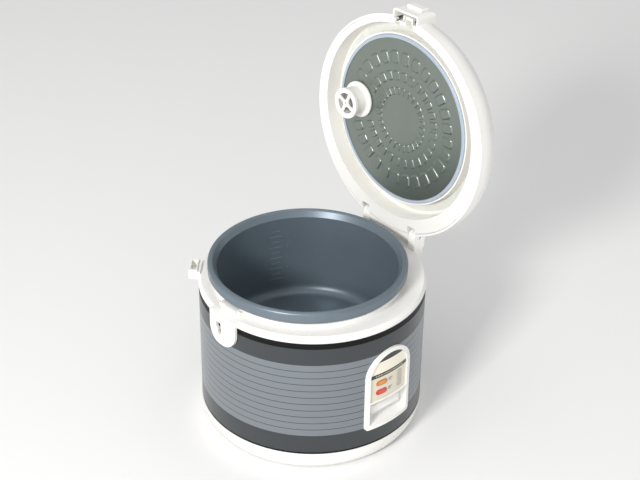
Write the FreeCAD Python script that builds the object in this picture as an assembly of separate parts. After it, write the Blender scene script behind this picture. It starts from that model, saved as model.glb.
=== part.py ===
"""Jar rice cooker with a hinged lid, drawn as separate pieces, in millimetres.

Frame: +Z up, origin on the floor under the centre of the round body, control
panel facing -Y, lid hinge on the +X side, lid latch on the -X side.  The lid
pieces are drawn with the lid shut and then turned open about the hinge pin.
"""
import FreeCAD, Part
import math
import os

V = FreeCAD.Vector

# ---- body ------------------------------------------------------------------
BODY_R = 133.0            # outside radius of the printed sheet shell
SHELL_WALL = 0.8          # shell sheet thickness
FOOT_H = 2.5              # rubber feet below the base
BASE_H = 25.0             # height of the white base above the feet
LOWER_TRIM_H = 2.5        # thin black band on top of the base
SHELL_H = 144.5           # visible height of the shell between the black bands
UPPER_TRIM_H = 7.3        # black band below the top ring
RING_WALL_H = 8.7         # outer wall of the white top ring
PLASTIC = 2.5             # wall of the moulded parts
SPIGOT_H = 12.0           # rims of base and ring that reach inside the shell
FIT_GAP = 0.3             # clearance between nested pieces
RUN_GAP = 0.05            # radial clearance of pins in their bores

# ---- pot opening -----------------------------------------------------------
POT_X = -7.3              # pot axis, nearer to the latch than the body axis
POT_R = BODY_R - 25.5     # outside radius of the inner pot
POT_WALL = 1.6
POT_FLOOR_Z = 97.0        # underside of the pot
POT_CORNER = 14.0         # outside radius between pot floor and wall
FLANGE_R = POT_R + 9.0    # outside radius of the pot flange
FLANGE_RISE = 23.5        # flange top above the ring ledge
FLANGE_HEM = 12.0         # height of the turned-down flange edge
FLARE_H = 8.0             # height of the slanted part of the rim
LIP_GAP = 2.9             # pot wall to ring lip
LIP_WALL = 2.0
LIP_H = 6.9               # ring lip above the ledge

# ---- heater and sensor -----------------------------------------------------
PLATE_R = POT_R - 15.5    # hot plate radius
PLATE_T = 10.0
PLATE_BORE = 17.5         # hole for the sensor cup
SEAT_GAP = 0.2            # pot floor to hot plate
CAN_DROP = 24.0           # liner can floor below the hot plate top
CAN_WALL = 0.8
CUP_R = 15.0              # sensor cup radius
CUP_H = 12.7
SENSOR_TRAVEL = 2.0
MAGNET_TRAVEL = 4.0

# ---- cook lever ------------------------------------------------------------
LEVER_PIVOT_Y = -60.0
LEVER_Z = 54.0            # centre of the lever pin
LEVER_PIN_R = 2.0
KEY_W = 43.0
KEY_H = 10.0
KEY_Z = 67.2              # bottom of the key at rest
KEY_SLOT_H = 16.2
BRACKET_HALF = 11.0       # half the gap between the bracket cheeks

# ---- control panel ---------------------------------------------------------
PANEL_W = 68.0
PANEL_Z0 = 51.0           # bottom of the panel frame
PANEL_Z1 = 155.5          # top of its arch
PANEL_FRAME = 5.2         # width of the white frame
PANEL_PROUD = 3.0         # frame stands this far off the shell
PANEL_DEPTH = 13.0        # recess for the key, inwards from the shell
LABEL_Z0 = 89.0           # lower edge of the label
LABEL_T = 0.4
LAMP_W = 15.4
LAMP_H = 6.6
LAMP_X = -12.0
LAMP_ZS = (112.0, 99.4)   # keep-warm lamp above, cook lamp below

# ---- latch shield and catch on the ring ------------------------------------
SHIELD_W = 44.0
SHIELD_DROP = 39.0        # from the ledge down to the rounded tip
SHIELD_T = 3.6
CATCH_W = 27.0
CATCH_H = 8.5             # above the ledge
CATCH_REACH = 8.3         # outwards from the lip
NOSE = 2.0                # overhang that the hook grips
SOCKET_ANGLE = 135.0      # spoon-holder socket, measured from +X
SOCKET_W = 26.0
SOCKET_OUT = 11.5
SOCKET_H = 12.0

# ---- hinge -----------------------------------------------------------------
PIVOT_X = BODY_R - 0.3
PIVOT_RISE = 14.7         # hinge pin above the ring ledge
PIN_R = 2.0
KNUCKLE_R = 9.7
KNUCKLE_W = 66.0
EAR_W = 11.0
EAR_R = 9.5
LID_REST_ANGLE = 93.0     # how far the lid stands open

# ---- lid, drawn shut -------------------------------------------------------
LID_R = BODY_R + 1.0
LID_BOTTOM_RISE = 4.3     # bottom of the outer skirt above the ledge
LID_SKIRT = 8.5           # straight part of the skirt
LID_DOME_RISE = 47.0      # dome crown above the skirt's bottom
LID_WALL = 2.5
RIM_RISE = 3.0            # bottom of the liner rim above the ledge
CHANNEL_R = FLANGE_R + 2.2    # inner edge of the liner rim
CHANNEL_X = POT_X + 1.0   # nearer to the hinge, so the rim swings clear of the flange
CHANNEL_RISE = 25.0       # channel floor above the ledge
INNER_PLATE_R = POT_R - 8.0
INNER_PLATE_T = 1.0
INNER_PLATE_RISE = 10.5   # underside of the plate above the ledge
GASKET_W = 3.9
VALVE_X = -9.0
VALVE_Y = 69.6            # steam valve, on the back half of the lid
VALVE_DRUM_R = 17.0
VALVE_FLANGE_R = 22.0
VALVE_CAP_R = 18.5
VALVE_CAP_T = 4.0
VALVE_DROP = 23.5         # valve cap face below the inner plate
VENT_CAP_R = 19.5
HOUSING_W = 40.0          # latch housing on the lid's edge
HOUSING_OUT = 8.0         # proud of the skirt
HOUSING_H = 29.0
BUTTON_W = 23.4
BUTTON_H = 11.0
BUTTON_ARM = 10.0          # button stem above the hook pin
BUTTON_TRAVEL = 3.0
HOOK_PIN_R = 1.5
HOOK_PIVOT_RISE = 13.5    # hook pin above the ledge
HOOK_W = 10.0

# ---- appliance inlet, on the back ------------------------------------------
INLET_W = 44.0
INLET_H = 26.0
INLET_Z = 46.0
INLET_CAVITY = (23.0, 15.0, 17.0)
INLET_PIN_R = 2.0

# ---- levels that follow from the sizes above -------------------------------
BASE_TOP = FOOT_H + BASE_H
SHELL_Z0 = BASE_TOP + LOWER_TRIM_H
SHELL_Z1 = SHELL_Z0 + SHELL_H
RING_Z0 = SHELL_Z1 + UPPER_TRIM_H
LEDGE_Z = RING_Z0 + RING_WALL_H
LIP_TOP = LEDGE_Z + LIP_H
LIP_IN = POT_R + LIP_GAP
LIP_OUT = LIP_IN + LIP_WALL
FLANGE_TOP = LEDGE_Z + FLANGE_RISE
PLATE_TOP = POT_FLOOR_Z - SEAT_GAP
PLATE_BOTTOM = PLATE_TOP - PLATE_T
CAN_Z0 = PLATE_TOP - CAN_DROP
SHELL_IN = BODY_R - SHELL_WALL
SPIGOT_OUT = SHELL_IN - FIT_GAP
SPIGOT_IN = SPIGOT_OUT - PLASTIC
FLOOR_TOP = FOOT_H + PLASTIC
PIVOT_Z = LEDGE_Z + PIVOT_RISE
LID_Z0 = LEDGE_Z + LID_BOTTOM_RISE
RIM_Z = LEDGE_Z + RIM_RISE
CHANNEL_Z = LEDGE_Z + CHANNEL_RISE
LINER_TOP = CHANNEL_Z + 2.0
INNER_Z = LEDGE_Z + INNER_PLATE_RISE
TIE_R = BODY_R - 14.6
TIE_ANGLES = (30.0, 110.0, 250.0, 330.0)
TIE_PLACES = [(TIE_R * math.cos(math.radians(a)), TIE_R * math.sin(math.radians(a))) for a in TIE_ANGLES]
FOOT_PLACE_R = BODY_R - 29.0
FOOT_PLACES = [(FOOT_PLACE_R, 0.0), (0.0, FOOT_PLACE_R), (-FOOT_PLACE_R, 0.0), (0.0, -FOOT_PLACE_R)]
BRACKET_SCREWS = [(POT_X, -88.0), (POT_X, -30.0)]
INLET_SCREW_BASE = [(-24.0, 62.0), (24.0, 62.0)]


# ---- drawing helpers -------------------------------------------------------
def disc(radius, z0, z1, x=0.0, y=0.0):
    """Upright cylinder between two levels."""
    return Part.makeCylinder(radius, z1 - z0, V(x, y, z0))


def tube(outer, inner, z0, z1, x=0.0, y=0.0):
    """Upright tube between two levels."""
    return disc(outer, z0, z1, x, y).cut(disc(inner, z0 - 1.0, z1 + 1.0, x, y))


def rod(radius, start, end):
    """Round bar between two points."""
    line = end.sub(start)
    return Part.makeCylinder(radius, line.Length, start, line)


def box(x0, x1, y0, y1, z0, z1):
    """Box from its two limits along each axis."""
    return Part.makeBox(x1 - x0, y1 - y0, z1 - z0, V(x0, y0, z0))


def join(shapes):
    """Fuse shapes one after another and merge their flush faces."""
    whole = shapes[0]
    for shape in shapes[1:]:
        whole = whole.fuse(shape)
    return whole.removeSplitter()


def carve(shape, cuts):
    """Cut tools out of a shape one after another."""
    for tool in cuts:
        shape = shape.cut(tool)
    return shape


def outline(points):
    """Closed wire in the XZ plane.

    A point is (x, z); a triple (x, z, (mx, mz)) is reached by an arc through m.
    An arc that ends on the axis becomes a spline, since its torus would cross itself.
    """
    edges = []
    start = V(points[0][0], 0, points[0][1])
    for point in list(points[1:]) + [points[0][:2]]:
        end = V(point[0], 0, point[1])
        if len(point) == 3:
            arc = Part.Arc(start, V(point[2][0], 0, point[2][1]), end)
            edges.append(arc.toBSpline().toShape() if abs(end.x) < 1e-6 else arc.toShape())
        elif start.distanceToPoint(end) > 1e-6:
            edges.append(Part.makeLine(start, end))
        start = end
    return Part.Wire(edges)


def turned(points, x=0.0, y=0.0):
    """Solid turned about the upright axis at (x, y) from an (r, z) outline."""
    solid = Part.Face(outline(points)).revolve(V(0, 0, 0), V(0, 0, 1), 360)
    solid.translate(V(x, y, 0))
    return solid


def spun(shape, angle):
    """Copy turned about the body axis."""
    copy = shape.copy()
    copy.rotate(V(0, 0, 0), V(0, 0, 1), angle)
    return copy


def ring_of(shape, count, x=0.0, start=0.0):
    """Copies of a shape spaced evenly round the upright axis at x."""
    copies = []
    for index in range(count):
        copy = shape.copy()
        copy.rotate(V(x, 0, 0), V(0, 0, 1), start + 360.0 * index / count)
        copies.append(copy)
    return copies


def corner_arc(radius, start, end, centre):
    """Middle point of the shorter arc from start to end about centre."""
    mx = (start[0] + end[0]) / 2.0 - centre[0]
    mz = (start[1] + end[1]) / 2.0 - centre[1]
    scale = radius / math.hypot(mx, mz)
    return (centre[0] + mx * scale, centre[1] + mz * scale)


def coil(radius, wire, length, turns, origin, axis, flat=False):
    """Helical spring of round or flat-sided wire along axis from origin."""
    helix = Part.makeHelix(length / turns, length, radius)
    half = wire / 2.0
    corners = [V(radius + x * half, 0, z * half) for x, z in ((-1, -1), (1, -1), (1, 1), (-1, 1), (-1, -1))]
    if flat:
        section = Part.makePolygon(corners)
    else:
        section = Part.Wire(Part.makeCircle(half, V(radius, 0, 0), V(0, 1, 0)))
    spring = Part.Wire(helix).makePipeShell([section], True, True)
    hinge = V(0, 0, 1).cross(axis)
    if hinge.Length > 1e-6:
        spring.rotate(V(0, 0, 0), hinge, math.degrees(V(0, 0, 1).getAngle(axis)))
    spring.translate(origin)
    return spring


def lead(points, radius, bend):
    """Insulated wire: straight runs joined by tangent arcs."""
    edges = []
    start = points[0]
    for before, corner, after in zip(points, points[1:], points[2:]):
        into = corner.sub(before)
        out = after.sub(corner)
        into.normalize()
        out.normalize()
        turn = into.getAngle(out)
        trim = bend * math.tan(turn / 2.0)
        first = corner.sub(into * trim)
        last = corner.add(out * trim)
        inward = out.sub(into)
        inward.normalize()
        middle = corner.add(inward * (bend / math.cos(turn / 2.0) - bend))
        edges.append(Part.makeLine(start, first))
        edges.append(Part.Arc(first, middle, last).toShape())
        start = last
    edges.append(Part.makeLine(start, points[-1]))
    direction = points[1].sub(points[0])
    section = Part.Wire(Part.makeCircle(radius, points[0], direction))
    return Part.Wire(edges).makePipeShell([section], True, True)


def screw(x, y, z_head, z_tip, shank, head, head_h):
    """Pan-head screw standing on its head, with a cross recess."""
    tip = shank if z_tip > z_head else -shank
    sign = 1.0 if z_tip > z_head else -1.0
    low, high = sorted((z_head, z_head + sign * head_h))
    shaft_low, shaft_high = sorted((z_head + sign * head_h, z_tip))
    body = disc(head, low, high, x, y).fuse(disc(abs(tip), shaft_low, shaft_high, x, y))
    slot_low, slot_high = sorted((z_head - sign * 0.1, z_head + sign * head_h * 0.5))
    for half_x, half_y in ((head * 0.6, 0.5), (0.5, head * 0.6)):
        body = body.cut(box(x - half_x, x + half_x, y - half_y, y + half_y, slot_low, slot_high))
    return body


def arch_prism(half, z0, z1, depth0, depth1):
    """Round-topped panel outline, pushed along Y from depth0 to depth1."""
    crown = z1 - half
    corner = min(4.0, half / 4.0)
    wire = outline([
        (-half, z0 + corner), (-half, crown), (half, crown, (0.0, z1)), (half, z0 + corner),
        (half - corner, z0, corner_arc(corner, (half, z0 + corner), (half - corner, z0),
                                       (half - corner, z0 + corner))),
        (-half + corner, z0),
        (-half, z0 + corner, corner_arc(corner, (-half + corner, z0), (-half, z0 + corner),
                                        (-half + corner, z0 + corner)))])
    prism = Part.Face(wire).extrude(V(0, depth1 - depth0, 0))
    prism.translate(V(0, depth0, 0))
    return prism


def capsule_prism(x, z, width, height, y0, y1):
    """Bar with rounded ends, lying along X and pushed from y0 to y1."""
    end = height / 2.0
    half = width / 2.0 - end
    bar = box(x - half, x + half, y0, y1, z - end, z + end)
    for side in (-half, half):
        bar = bar.fuse(rod(end, V(x + side, y0, z), V(x + side, y1, z)))
    return bar.removeSplitter()


def soft_edges(shape, radius, wanted):
    """Round the edges whose box passes the wanted test."""
    edges = [edge for edge in shape.Edges if wanted(edge.BoundBox)]
    return shape.makeFillet(radius, edges) if edges else shape


# ---- base ------------------------------------------------------------------
def base_tray():
    """White base: flared wall, floor with vents, spigot for the shell."""
    foot = BODY_R - 8.0
    top = BODY_R + 0.4
    shoulder = FOOT_H + BASE_H - 5.0
    middle = FOOT_H + BASE_H * 0.4
    body = turned([
        (0, FOOT_H), (foot - 2.0, FOOT_H), (foot, FOOT_H + 1.2),
        (top, shoulder, (top - 2.9, middle)), (top, BASE_TOP),
        (SPIGOT_OUT, BASE_TOP), (SPIGOT_OUT, BASE_TOP + SPIGOT_H), (SPIGOT_IN, BASE_TOP + SPIGOT_H),
        (SPIGOT_IN, shoulder),
        (foot - PLASTIC, FLOOR_TOP, (SPIGOT_IN - 2.0, middle + 1.0)), (0, FLOOR_TOP)])
    cuts = []
    for radius, start in ((38.0, 90.0), (58.0, 90.0), (78.0, 270.0)):
        slot = box(radius, radius + 14.0, -1.6, 1.6, FOOT_H - 1.0, FLOOR_TOP + 1.0)
        cuts += ring_of(slot, int(radius / 2.5), 0.0, start)
    bosses = []
    for x, y in TIE_PLACES:
        bosses.append(disc(5.0, FLOOR_TOP - 0.5, FLOOR_TOP + 7.5, x, y))
        cuts.append(disc(3.6, FOOT_H - 1.0, FLOOR_TOP + 3.0, x, y))
        cuts.append(disc(1.8, FOOT_H - 1.0, FLOOR_TOP + 9.0, x, y))
    for x, y in FOOT_PLACES:
        cuts.append(disc(3.5, FOOT_H - 1.0, FLOOR_TOP + 1.0, x, y))
    for x, y in BRACKET_SCREWS + INLET_SCREW_BASE:
        cuts.append(disc(1.6, FOOT_H - 1.0, FLOOR_TOP + 1.0, x, y))
    cuts.append(box(-INLET_W / 2.0 - 1.0, INLET_W / 2.0 + 1.0, BODY_R - 25.0, BODY_R + 5.0,
                    INLET_Z - INLET_H / 2.0 - 1.0, BASE_TOP + SPIGOT_H + 1.0))
    return carve(join([body] + bosses), cuts)


def rubber_feet():
    """Four feet with stems pressed into the base floor."""
    feet = []
    for x, y in FOOT_PLACES:
        pad = turned([(0, 0), (8.2, 0), (9.0, 0.8), (9.0, FOOT_H), (3.5, FOOT_H), (3.5, FLOOR_TOP + 1.5),
                      (0, FLOOR_TOP + 1.5)], x, y)
        feet.append(pad)
    return Part.makeCompound(feet)


def tie_screws():
    """Four long screws that pull the ring, shell and base together."""
    return Part.makeCompound([screw(x, y, FLOOR_TOP, LEDGE_Z - 6.0, 1.6, 3.4, 3.0) for x, y in TIE_PLACES])


# ---- shell and bands -------------------------------------------------------
def outer_shell():
    """Printed sheet drum with windows for the panel and the inlet."""
    drum = tube(BODY_R, SHELL_IN, SHELL_Z0, SHELL_Z1)
    half = PANEL_W / 2.0 - 2.4
    window = arch_prism(half, PANEL_Z0 + 2.4, PANEL_Z1 - 2.4, -BODY_R - 5.0, -BODY_R + 25.0)
    inlet = box(-INLET_W / 2.0 + 3.0, INLET_W / 2.0 - 3.0, BODY_R - 25.0, BODY_R + 5.0,
                INLET_Z - INLET_H / 2.0 + 3.0, INLET_Z + INLET_H / 2.0 - 3.0)
    screws = [rod(1.7, V(x, BODY_R - 20.0, INLET_Z), V(x, BODY_R + 5.0, INLET_Z)) for x in INLET_SCREW_X]
    return drum.cut([window, inlet] + screws)


INLET_SCREW_X = (-18.2, 18.2)


def lower_trim():
    """Thin black band between base and shell."""
    return tube(BODY_R - 0.2, SPIGOT_OUT + 0.1, BASE_TOP, SHELL_Z0)


def upper_trim():
    """Black band between shell and top ring."""
    return tube(BODY_R - 0.3, SPIGOT_OUT + 0.1, SHELL_Z1, RING_Z0)


# ---- top ring --------------------------------------------------------------
def latch_shield():
    """Curved plate that hangs from the ring over the shell, with a keyhole."""
    inner = BODY_R + 0.8
    outer = inner + SHIELD_T
    half = SHIELD_W / 2.0
    corner = half - 3.0
    z0 = LEDGE_Z - SHIELD_DROP
    sheet = outline([
        (-half, LEDGE_Z), (-half, z0 + corner),
        (-half + corner, z0, corner_arc(corner, (-half, z0 + corner), (-half + corner, z0),
                                        (-half + corner, z0 + corner))),
        (half - corner, z0),
        (half, z0 + corner, corner_arc(corner, (half - corner, z0), (half, z0 + corner),
                                       (half - corner, z0 + corner))),
        (half, LEDGE_Z)])
    prism = Part.Face(sheet).extrude(V(0, 40, 0))
    prism.rotate(V(0, 0, 0), V(0, 0, 1), 90)
    prism.translate(V(-BODY_R + 20.0, 0, 0))
    plate = prism.common(tube(outer, inner, z0, LEDGE_Z))
    bridge = prism.common(tube(outer, BODY_R - 4.0, RING_Z0 + 1.0, LEDGE_Z))
    keyhole = [box(-outer - 2.0, -inner + 3.0, 0.6, 9.0, LEDGE_Z - 19.0, LEDGE_Z - 10.8),
               box(-outer - 2.0, -inner + 3.0, 0.2, 6.1, LEDGE_Z - 26.0, LEDGE_Z - 18.5),
               box(-outer - 2.0, -inner + 3.0, 3.6, 4.8, LEDGE_Z - 33.5, LEDGE_Z - 25.5)]
    shield = soft_edges(join([plate, bridge]).cut(keyhole), 1.0,
                        lambda b: b.XMax < -BODY_R and b.YLength > SHIELD_W - 1.0 and b.ZMax < LEDGE_Z - 3.0)
    return shield


def catch_block():
    """Block on the ledge with an overhanging nose for the lid hook."""
    x_in = POT_X - LIP_IN - 0.5
    x_out = POT_X - LIP_OUT - CATCH_REACH
    half = CATCH_W / 2.0
    block = box(x_out, x_in, -half, half, LEDGE_Z - 1.0, LEDGE_Z + CATCH_H)
    under = box(x_out - 1.0, x_out + NOSE, -half - 1.0, half + 1.0, LEDGE_Z, LEDGE_Z + CATCH_H - 4.0)
    bore = disc(LIP_IN, LEDGE_Z - 3.0, LEDGE_Z + CATCH_H + 1.0, POT_X)
    stop = box(x_out + NOSE + 3.0, x_in, -half - 3.5, -half + 0.5, LEDGE_Z - 1.0, LEDGE_Z + CATCH_H - 2.5)
    return join([block.cut(under), stop]).cut(bore)


def hinge_ears():
    """Two ears on the ring that carry the hinge pin, on a solid sill."""
    inner = KNUCKLE_W / 2.0 + FIT_GAP + 0.2
    ears = []
    for side in (-1.0, 1.0):
        y0, y1 = sorted((side * inner, side * (inner + EAR_W)))
        cheek = rod(EAR_R, V(PIVOT_X, y0, PIVOT_Z), V(PIVOT_X, y1, PIVOT_Z))
        post = box(PIVOT_X - EAR_R, PIVOT_X + EAR_R * 0.78, y0, y1, RING_Z0 + 1.0, PIVOT_Z)
        ears += [cheek, post]
    width = inner + EAR_W
    sill = box(PIVOT_X - EAR_R, PIVOT_X + EAR_R * 0.78, -width, width, RING_Z0 + 1.0, LEDGE_Z + 1.5)
    boss = join(ears + [sill])
    keep = tube(PIVOT_X + 12.0, BODY_R - 6.0, RING_Z0 + 1.0, LEDGE_Z)
    above = box(0, 200, -100, 100, LEDGE_Z, LEDGE_Z + 100)
    boss = boss.common(join([keep, above]))
    return boss.cut(rod(PIN_R, V(PIVOT_X, -width - 1, PIVOT_Z), V(PIVOT_X, width + 1, PIVOT_Z)))


def spoon_socket():
    """Open-topped socket on the ring's side for the spoon holder."""
    half = SOCKET_W / 2.0
    z1 = LEDGE_Z + 5.0
    out = BODY_R + SOCKET_OUT
    block = box(BODY_R - 2.5, out, -half, half, z1 - SOCKET_H, z1)
    block = soft_edges(block, 2.5, lambda b: b.ZLength > SOCKET_H - 0.1 and b.XMin > BODY_R)
    pocket = box(out - 2.4 - 6.6, out - 2.4, -half + 2.6, half - 2.6, z1 - SOCKET_H + 2.2, z1 + 1.0)
    under_lid = disc(LID_R + 0.4, RIM_Z - 0.3, z1 + 1.0)
    return spun(block.cut(pocket).cut(under_lid), SOCKET_ANGLE)


def top_ring():
    """White ring: wall, ledge, pot lip, latch shield, catch, ears and socket."""
    wall = turned([
        (LIP_IN - 20.0, LEDGE_Z - 3.0), (SPIGOT_IN, LEDGE_Z - 3.0), (SPIGOT_IN, RING_Z0 - SPIGOT_H),
        (SPIGOT_OUT, RING_Z0 - SPIGOT_H), (SPIGOT_OUT, RING_Z0), (BODY_R - 0.4, RING_Z0),
        (BODY_R - 1.4, LEDGE_Z - 1.4, (BODY_R + 0.4, RING_Z0 + 4.0)),
        (BODY_R - 3.0, LEDGE_Z, (BODY_R - 1.9, LEDGE_Z - 0.4)), (LIP_IN - 20.0, LEDGE_Z)])
    opening = disc(LIP_IN, LEDGE_Z - 30.0, LEDGE_Z + 30.0, POT_X)
    lip = turned([
        (LIP_IN, LEDGE_Z - 3.0), (LIP_OUT, LEDGE_Z - 3.0), (LIP_OUT, LIP_TOP - 0.9),
        (LIP_OUT - 0.9, LIP_TOP, corner_arc(0.9, (LIP_OUT, LIP_TOP - 0.9), (LIP_OUT - 0.9, LIP_TOP),
                                            (LIP_OUT - 0.9, LIP_TOP - 0.9))),
        (LIP_IN, LIP_TOP)], POT_X)
    bosses = []
    for x, y in TIE_PLACES:
        boss = disc(3.6, LEDGE_Z - 16.0, LEDGE_Z - 2.5, x, y)
        bosses.append(boss.cut(disc(1.6, LEDGE_Z - 17.0, LEDGE_Z - 6.0, x, y)))
    ring = join([wall.cut(opening), lip] + bosses)
    extras = [latch_shield(), catch_block(), hinge_ears(), spoon_socket()]
    ring = join([ring] + extras)
    return ring.cut(rod(PIN_R, V(PIVOT_X, -60, PIVOT_Z), V(PIVOT_X, 60, PIVOT_Z)))


# ---- liner can and heater --------------------------------------------------
def liner_can():
    """Sheet can round the pot, hung under the ring's ledge."""
    inner = LIP_IN
    outer = LIP_IN + CAN_WALL
    top = LEDGE_Z - 3.0
    can = turned([
        (24.0, CAN_Z0), (outer, CAN_Z0), (outer, top - CAN_WALL), (outer + 2.0, top - CAN_WALL),
        (outer + 2.0, top), (inner, top), (inner, CAN_Z0 + CAN_WALL), (24.0, CAN_Z0 + CAN_WALL)], POT_X)
    holes = ring_of(disc(1.7, CAN_Z0 - 1.0, CAN_Z0 + 2.0, POT_X + 74.0), 3, POT_X, 30.0)
    holes += [disc(4.2, top - 5.0, top + 1.0, x, y) for x, y in TIE_PLACES]
    holes += [disc(5.0, CAN_Z0 - 1.0, CAN_Z0 + 2.0, x, y) for x, y in TERMINALS]
    holes += [disc(1.7, CAN_Z0 - 1.0, CAN_Z0 + 2.0, x, y) for x, y in SENSOR_SCREWS]
    return carve(can, holes)


TERMINALS = [(POT_X - 9.0, 62.0), (POT_X + 9.0, 62.0)]
SENSOR_SCREWS = [(POT_X - 27.0, 0.0), (POT_X + 27.0, 0.0)]


def hot_plate():
    """Cast plate with the heating element in its underside rib."""
    plate = turned([
        (PLATE_BORE, PLATE_BOTTOM), (54.0, PLATE_BOTTOM), (55.5, PLATE_BOTTOM - 6.0),
        (68.5, PLATE_BOTTOM - 6.0), (70.0, PLATE_BOTTOM), (PLATE_R - 3.0, PLATE_BOTTOM),
        (PLATE_R, PLATE_BOTTOM + 3.0), (PLATE_R, PLATE_TOP - 1.5), (PLATE_R - 1.5, PLATE_TOP),
        (PLATE_BORE, PLATE_TOP)], POT_X)
    legs = ring_of(disc(5.0, CAN_Z0 + CAN_WALL, PLATE_BOTTOM + 1.0, POT_X + 74.0), 3, POT_X, 30.0)
    bores = ring_of(disc(1.5, CAN_Z0 - 1.0, PLATE_BOTTOM + 1.0, POT_X + 74.0), 3, POT_X, 30.0)
    bores += [disc(2.6, PLATE_BOTTOM - 8.0, PLATE_BOTTOM - 1.0, x, y) for x, y in TERMINALS]
    return join([plate] + legs).cut(bores)


def element_terminals():
    """Cold ends of the heating element with their tabs, below the plate."""
    ends = []
    for x, y in TERMINALS:
        pin = disc(2.6, CAN_Z0 - 4.0, PLATE_BOTTOM - 1.0, x, y)
        tab = box(x - 3.1, x + 3.1, y - 0.4, y + 0.4, CAN_Z0 - 13.0, CAN_Z0 - 4.0)
        ends.append(pin.fuse(tab))
    return Part.makeCompound(ends)


def hotplate_screws():
    """Three screws from below the can into the plate's legs."""
    one = screw(POT_X + 74.0, 0.0, CAN_Z0 - 2.4, PLATE_BOTTOM + 1.0, 1.5, 3.2, 2.4)
    return Part.makeCompound(ring_of(one, 3, POT_X, 30.0))


def keep_warm_band():
    """Mica heater band round the can."""
    inner = LIP_IN + CAN_WALL
    band = tube(inner + 1.8, inner, CAN_Z0 + 50.0, CAN_Z0 + 78.0, POT_X)
    clamp = box(POT_X + inner + 0.6, POT_X + inner + 8.0, -2.0, 2.0, CAN_Z0 + 54.0, CAN_Z0 + 74.0)
    return join([band, clamp])


def thermal_fuse():
    """Fuse body with its leads, clipped under the hot plate."""
    z = PLATE_BOTTOM - 2.3
    fuse = rod(2.1, V(POT_X + 30.0, -20.0, z), V(POT_X + 30.0, -6.0, z))
    wires = [rod(0.5, V(POT_X + 30.0, y0, z), V(POT_X + 30.0, y1, z)) for y0, y1 in ((-28.0, -20.0), (-6.0, 2.0))]
    clip = box(POT_X + 27.0, POT_X + 33.0, -15.0, -11.0, z - 2.9, z - 2.1)
    lugs = [box(POT_X + x0, POT_X + x0 + 0.8, -15.0, -11.0, z - 2.9, PLATE_BOTTOM) for x0 in (27.0, 32.2)]
    return join([fuse] + wires + [clip] + lugs)


# ---- temperature sensor ----------------------------------------------------
GUIDE_R = CUP_R - 1.0 - FIT_GAP
GUIDE_BORE = GUIDE_R - 2.5
CUP_Z0 = PLATE_TOP + 0.1 - CUP_H
BRACKET_TOP = CAN_Z0 + CAN_WALL + 1.5


def thermostat_bracket():
    """Guide tube on a flange that is screwed to the can floor."""
    flange = tube(31.0, GUIDE_BORE, CAN_Z0 + CAN_WALL, BRACKET_TOP, POT_X)
    guide = tube(GUIDE_R, GUIDE_BORE, CAN_Z0 + CAN_WALL, CUP_Z0 + 4.0, POT_X)
    stop = tube(GUIDE_BORE + 0.5, 4.0, CAN_Z0 + CAN_WALL, CAN_Z0 + CAN_WALL + 1.0, POT_X)
    screws = [disc(1.7, CAN_Z0 - 1.0, BRACKET_TOP + 1.0, x, y) for x, y in SENSOR_SCREWS]
    return join([flange, guide, stop]).cut(screws)


def sensor_screws():
    """Two screws that hold the sensor bracket on the can floor."""
    return Part.makeCompound([screw(x, y, BRACKET_TOP + 2.2, CAN_Z0 - 3.5, 1.6, 3.2, 2.2)
                              for x, y in SENSOR_SCREWS])


def thermostat_cup():
    """Spring-loaded cap that touches the underside of the pot."""
    top = CUP_Z0 + CUP_H
    return turned([
        (0, top - 1.5), (CUP_R - 1.0, top - 1.5), (CUP_R - 1.0, CUP_Z0), (CUP_R + 2.0, CUP_Z0),
        (CUP_R + 2.0, CUP_Z0 + 1.0), (CUP_R, CUP_Z0 + 1.0), (CUP_R, top - 1.0),
        (CUP_R - 1.0, top, corner_arc(1.0, (CUP_R, top - 1.0), (CUP_R - 1.0, top), (CUP_R - 1.0, top - 1.0))),
        (0, top)], POT_X)


def thermostat_spring():
    """Spring under the sensor cup."""
    length = CUP_Z0 - BRACKET_TOP - 1.2
    return coil(CUP_R + 0.6, 0.9, length, 4, V(POT_X, 0, BRACKET_TOP + 0.6), V(0, 0, 1), flat=True)


def magnet_rod():
    """Magnet on its rod, lifted by the cook lever."""
    magnet_z = CUP_Z0 - 3.5
    magnet = disc(GUIDE_BORE - FIT_GAP, magnet_z, magnet_z + 8.0, POT_X)
    stem = disc(2.0, LEVER_Z + 2.0, magnet_z + 1.0, POT_X)
    foot = disc(4.0, LEVER_Z + 1.2, LEVER_Z + 3.2, POT_X)
    return join([magnet, stem, foot])


# ---- cook lever and switch -------------------------------------------------
def cook_lever():
    """Pressed steel rocker between the key and the magnet rod."""
    arm = box(POT_X - 6.0, POT_X + 6.0, KEY_Y + 14.0, 6.0, LEVER_Z - 0.8, LEVER_Z + 0.8)
    sleeve = rod(4.0, V(POT_X - 9.0, LEVER_PIVOT_Y, LEVER_Z), V(POT_X + 9.0, LEVER_PIVOT_Y, LEVER_Z))
    riser = box(POT_X - 6.0, POT_X + 6.0, KEY_Y + 14.0, KEY_Y + 15.6, LEVER_Z - 0.8, KEY_Z + KEY_H - 2.0)
    body = join([arm, sleeve, riser])
    bore = rod(LEVER_PIN_R + RUN_GAP, V(POT_X - 12, LEVER_PIVOT_Y, LEVER_Z), V(POT_X + 12, LEVER_PIVOT_Y, LEVER_Z))
    return body.cut(bore)


KEY_Y = -BODY_R + 4.5


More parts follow.
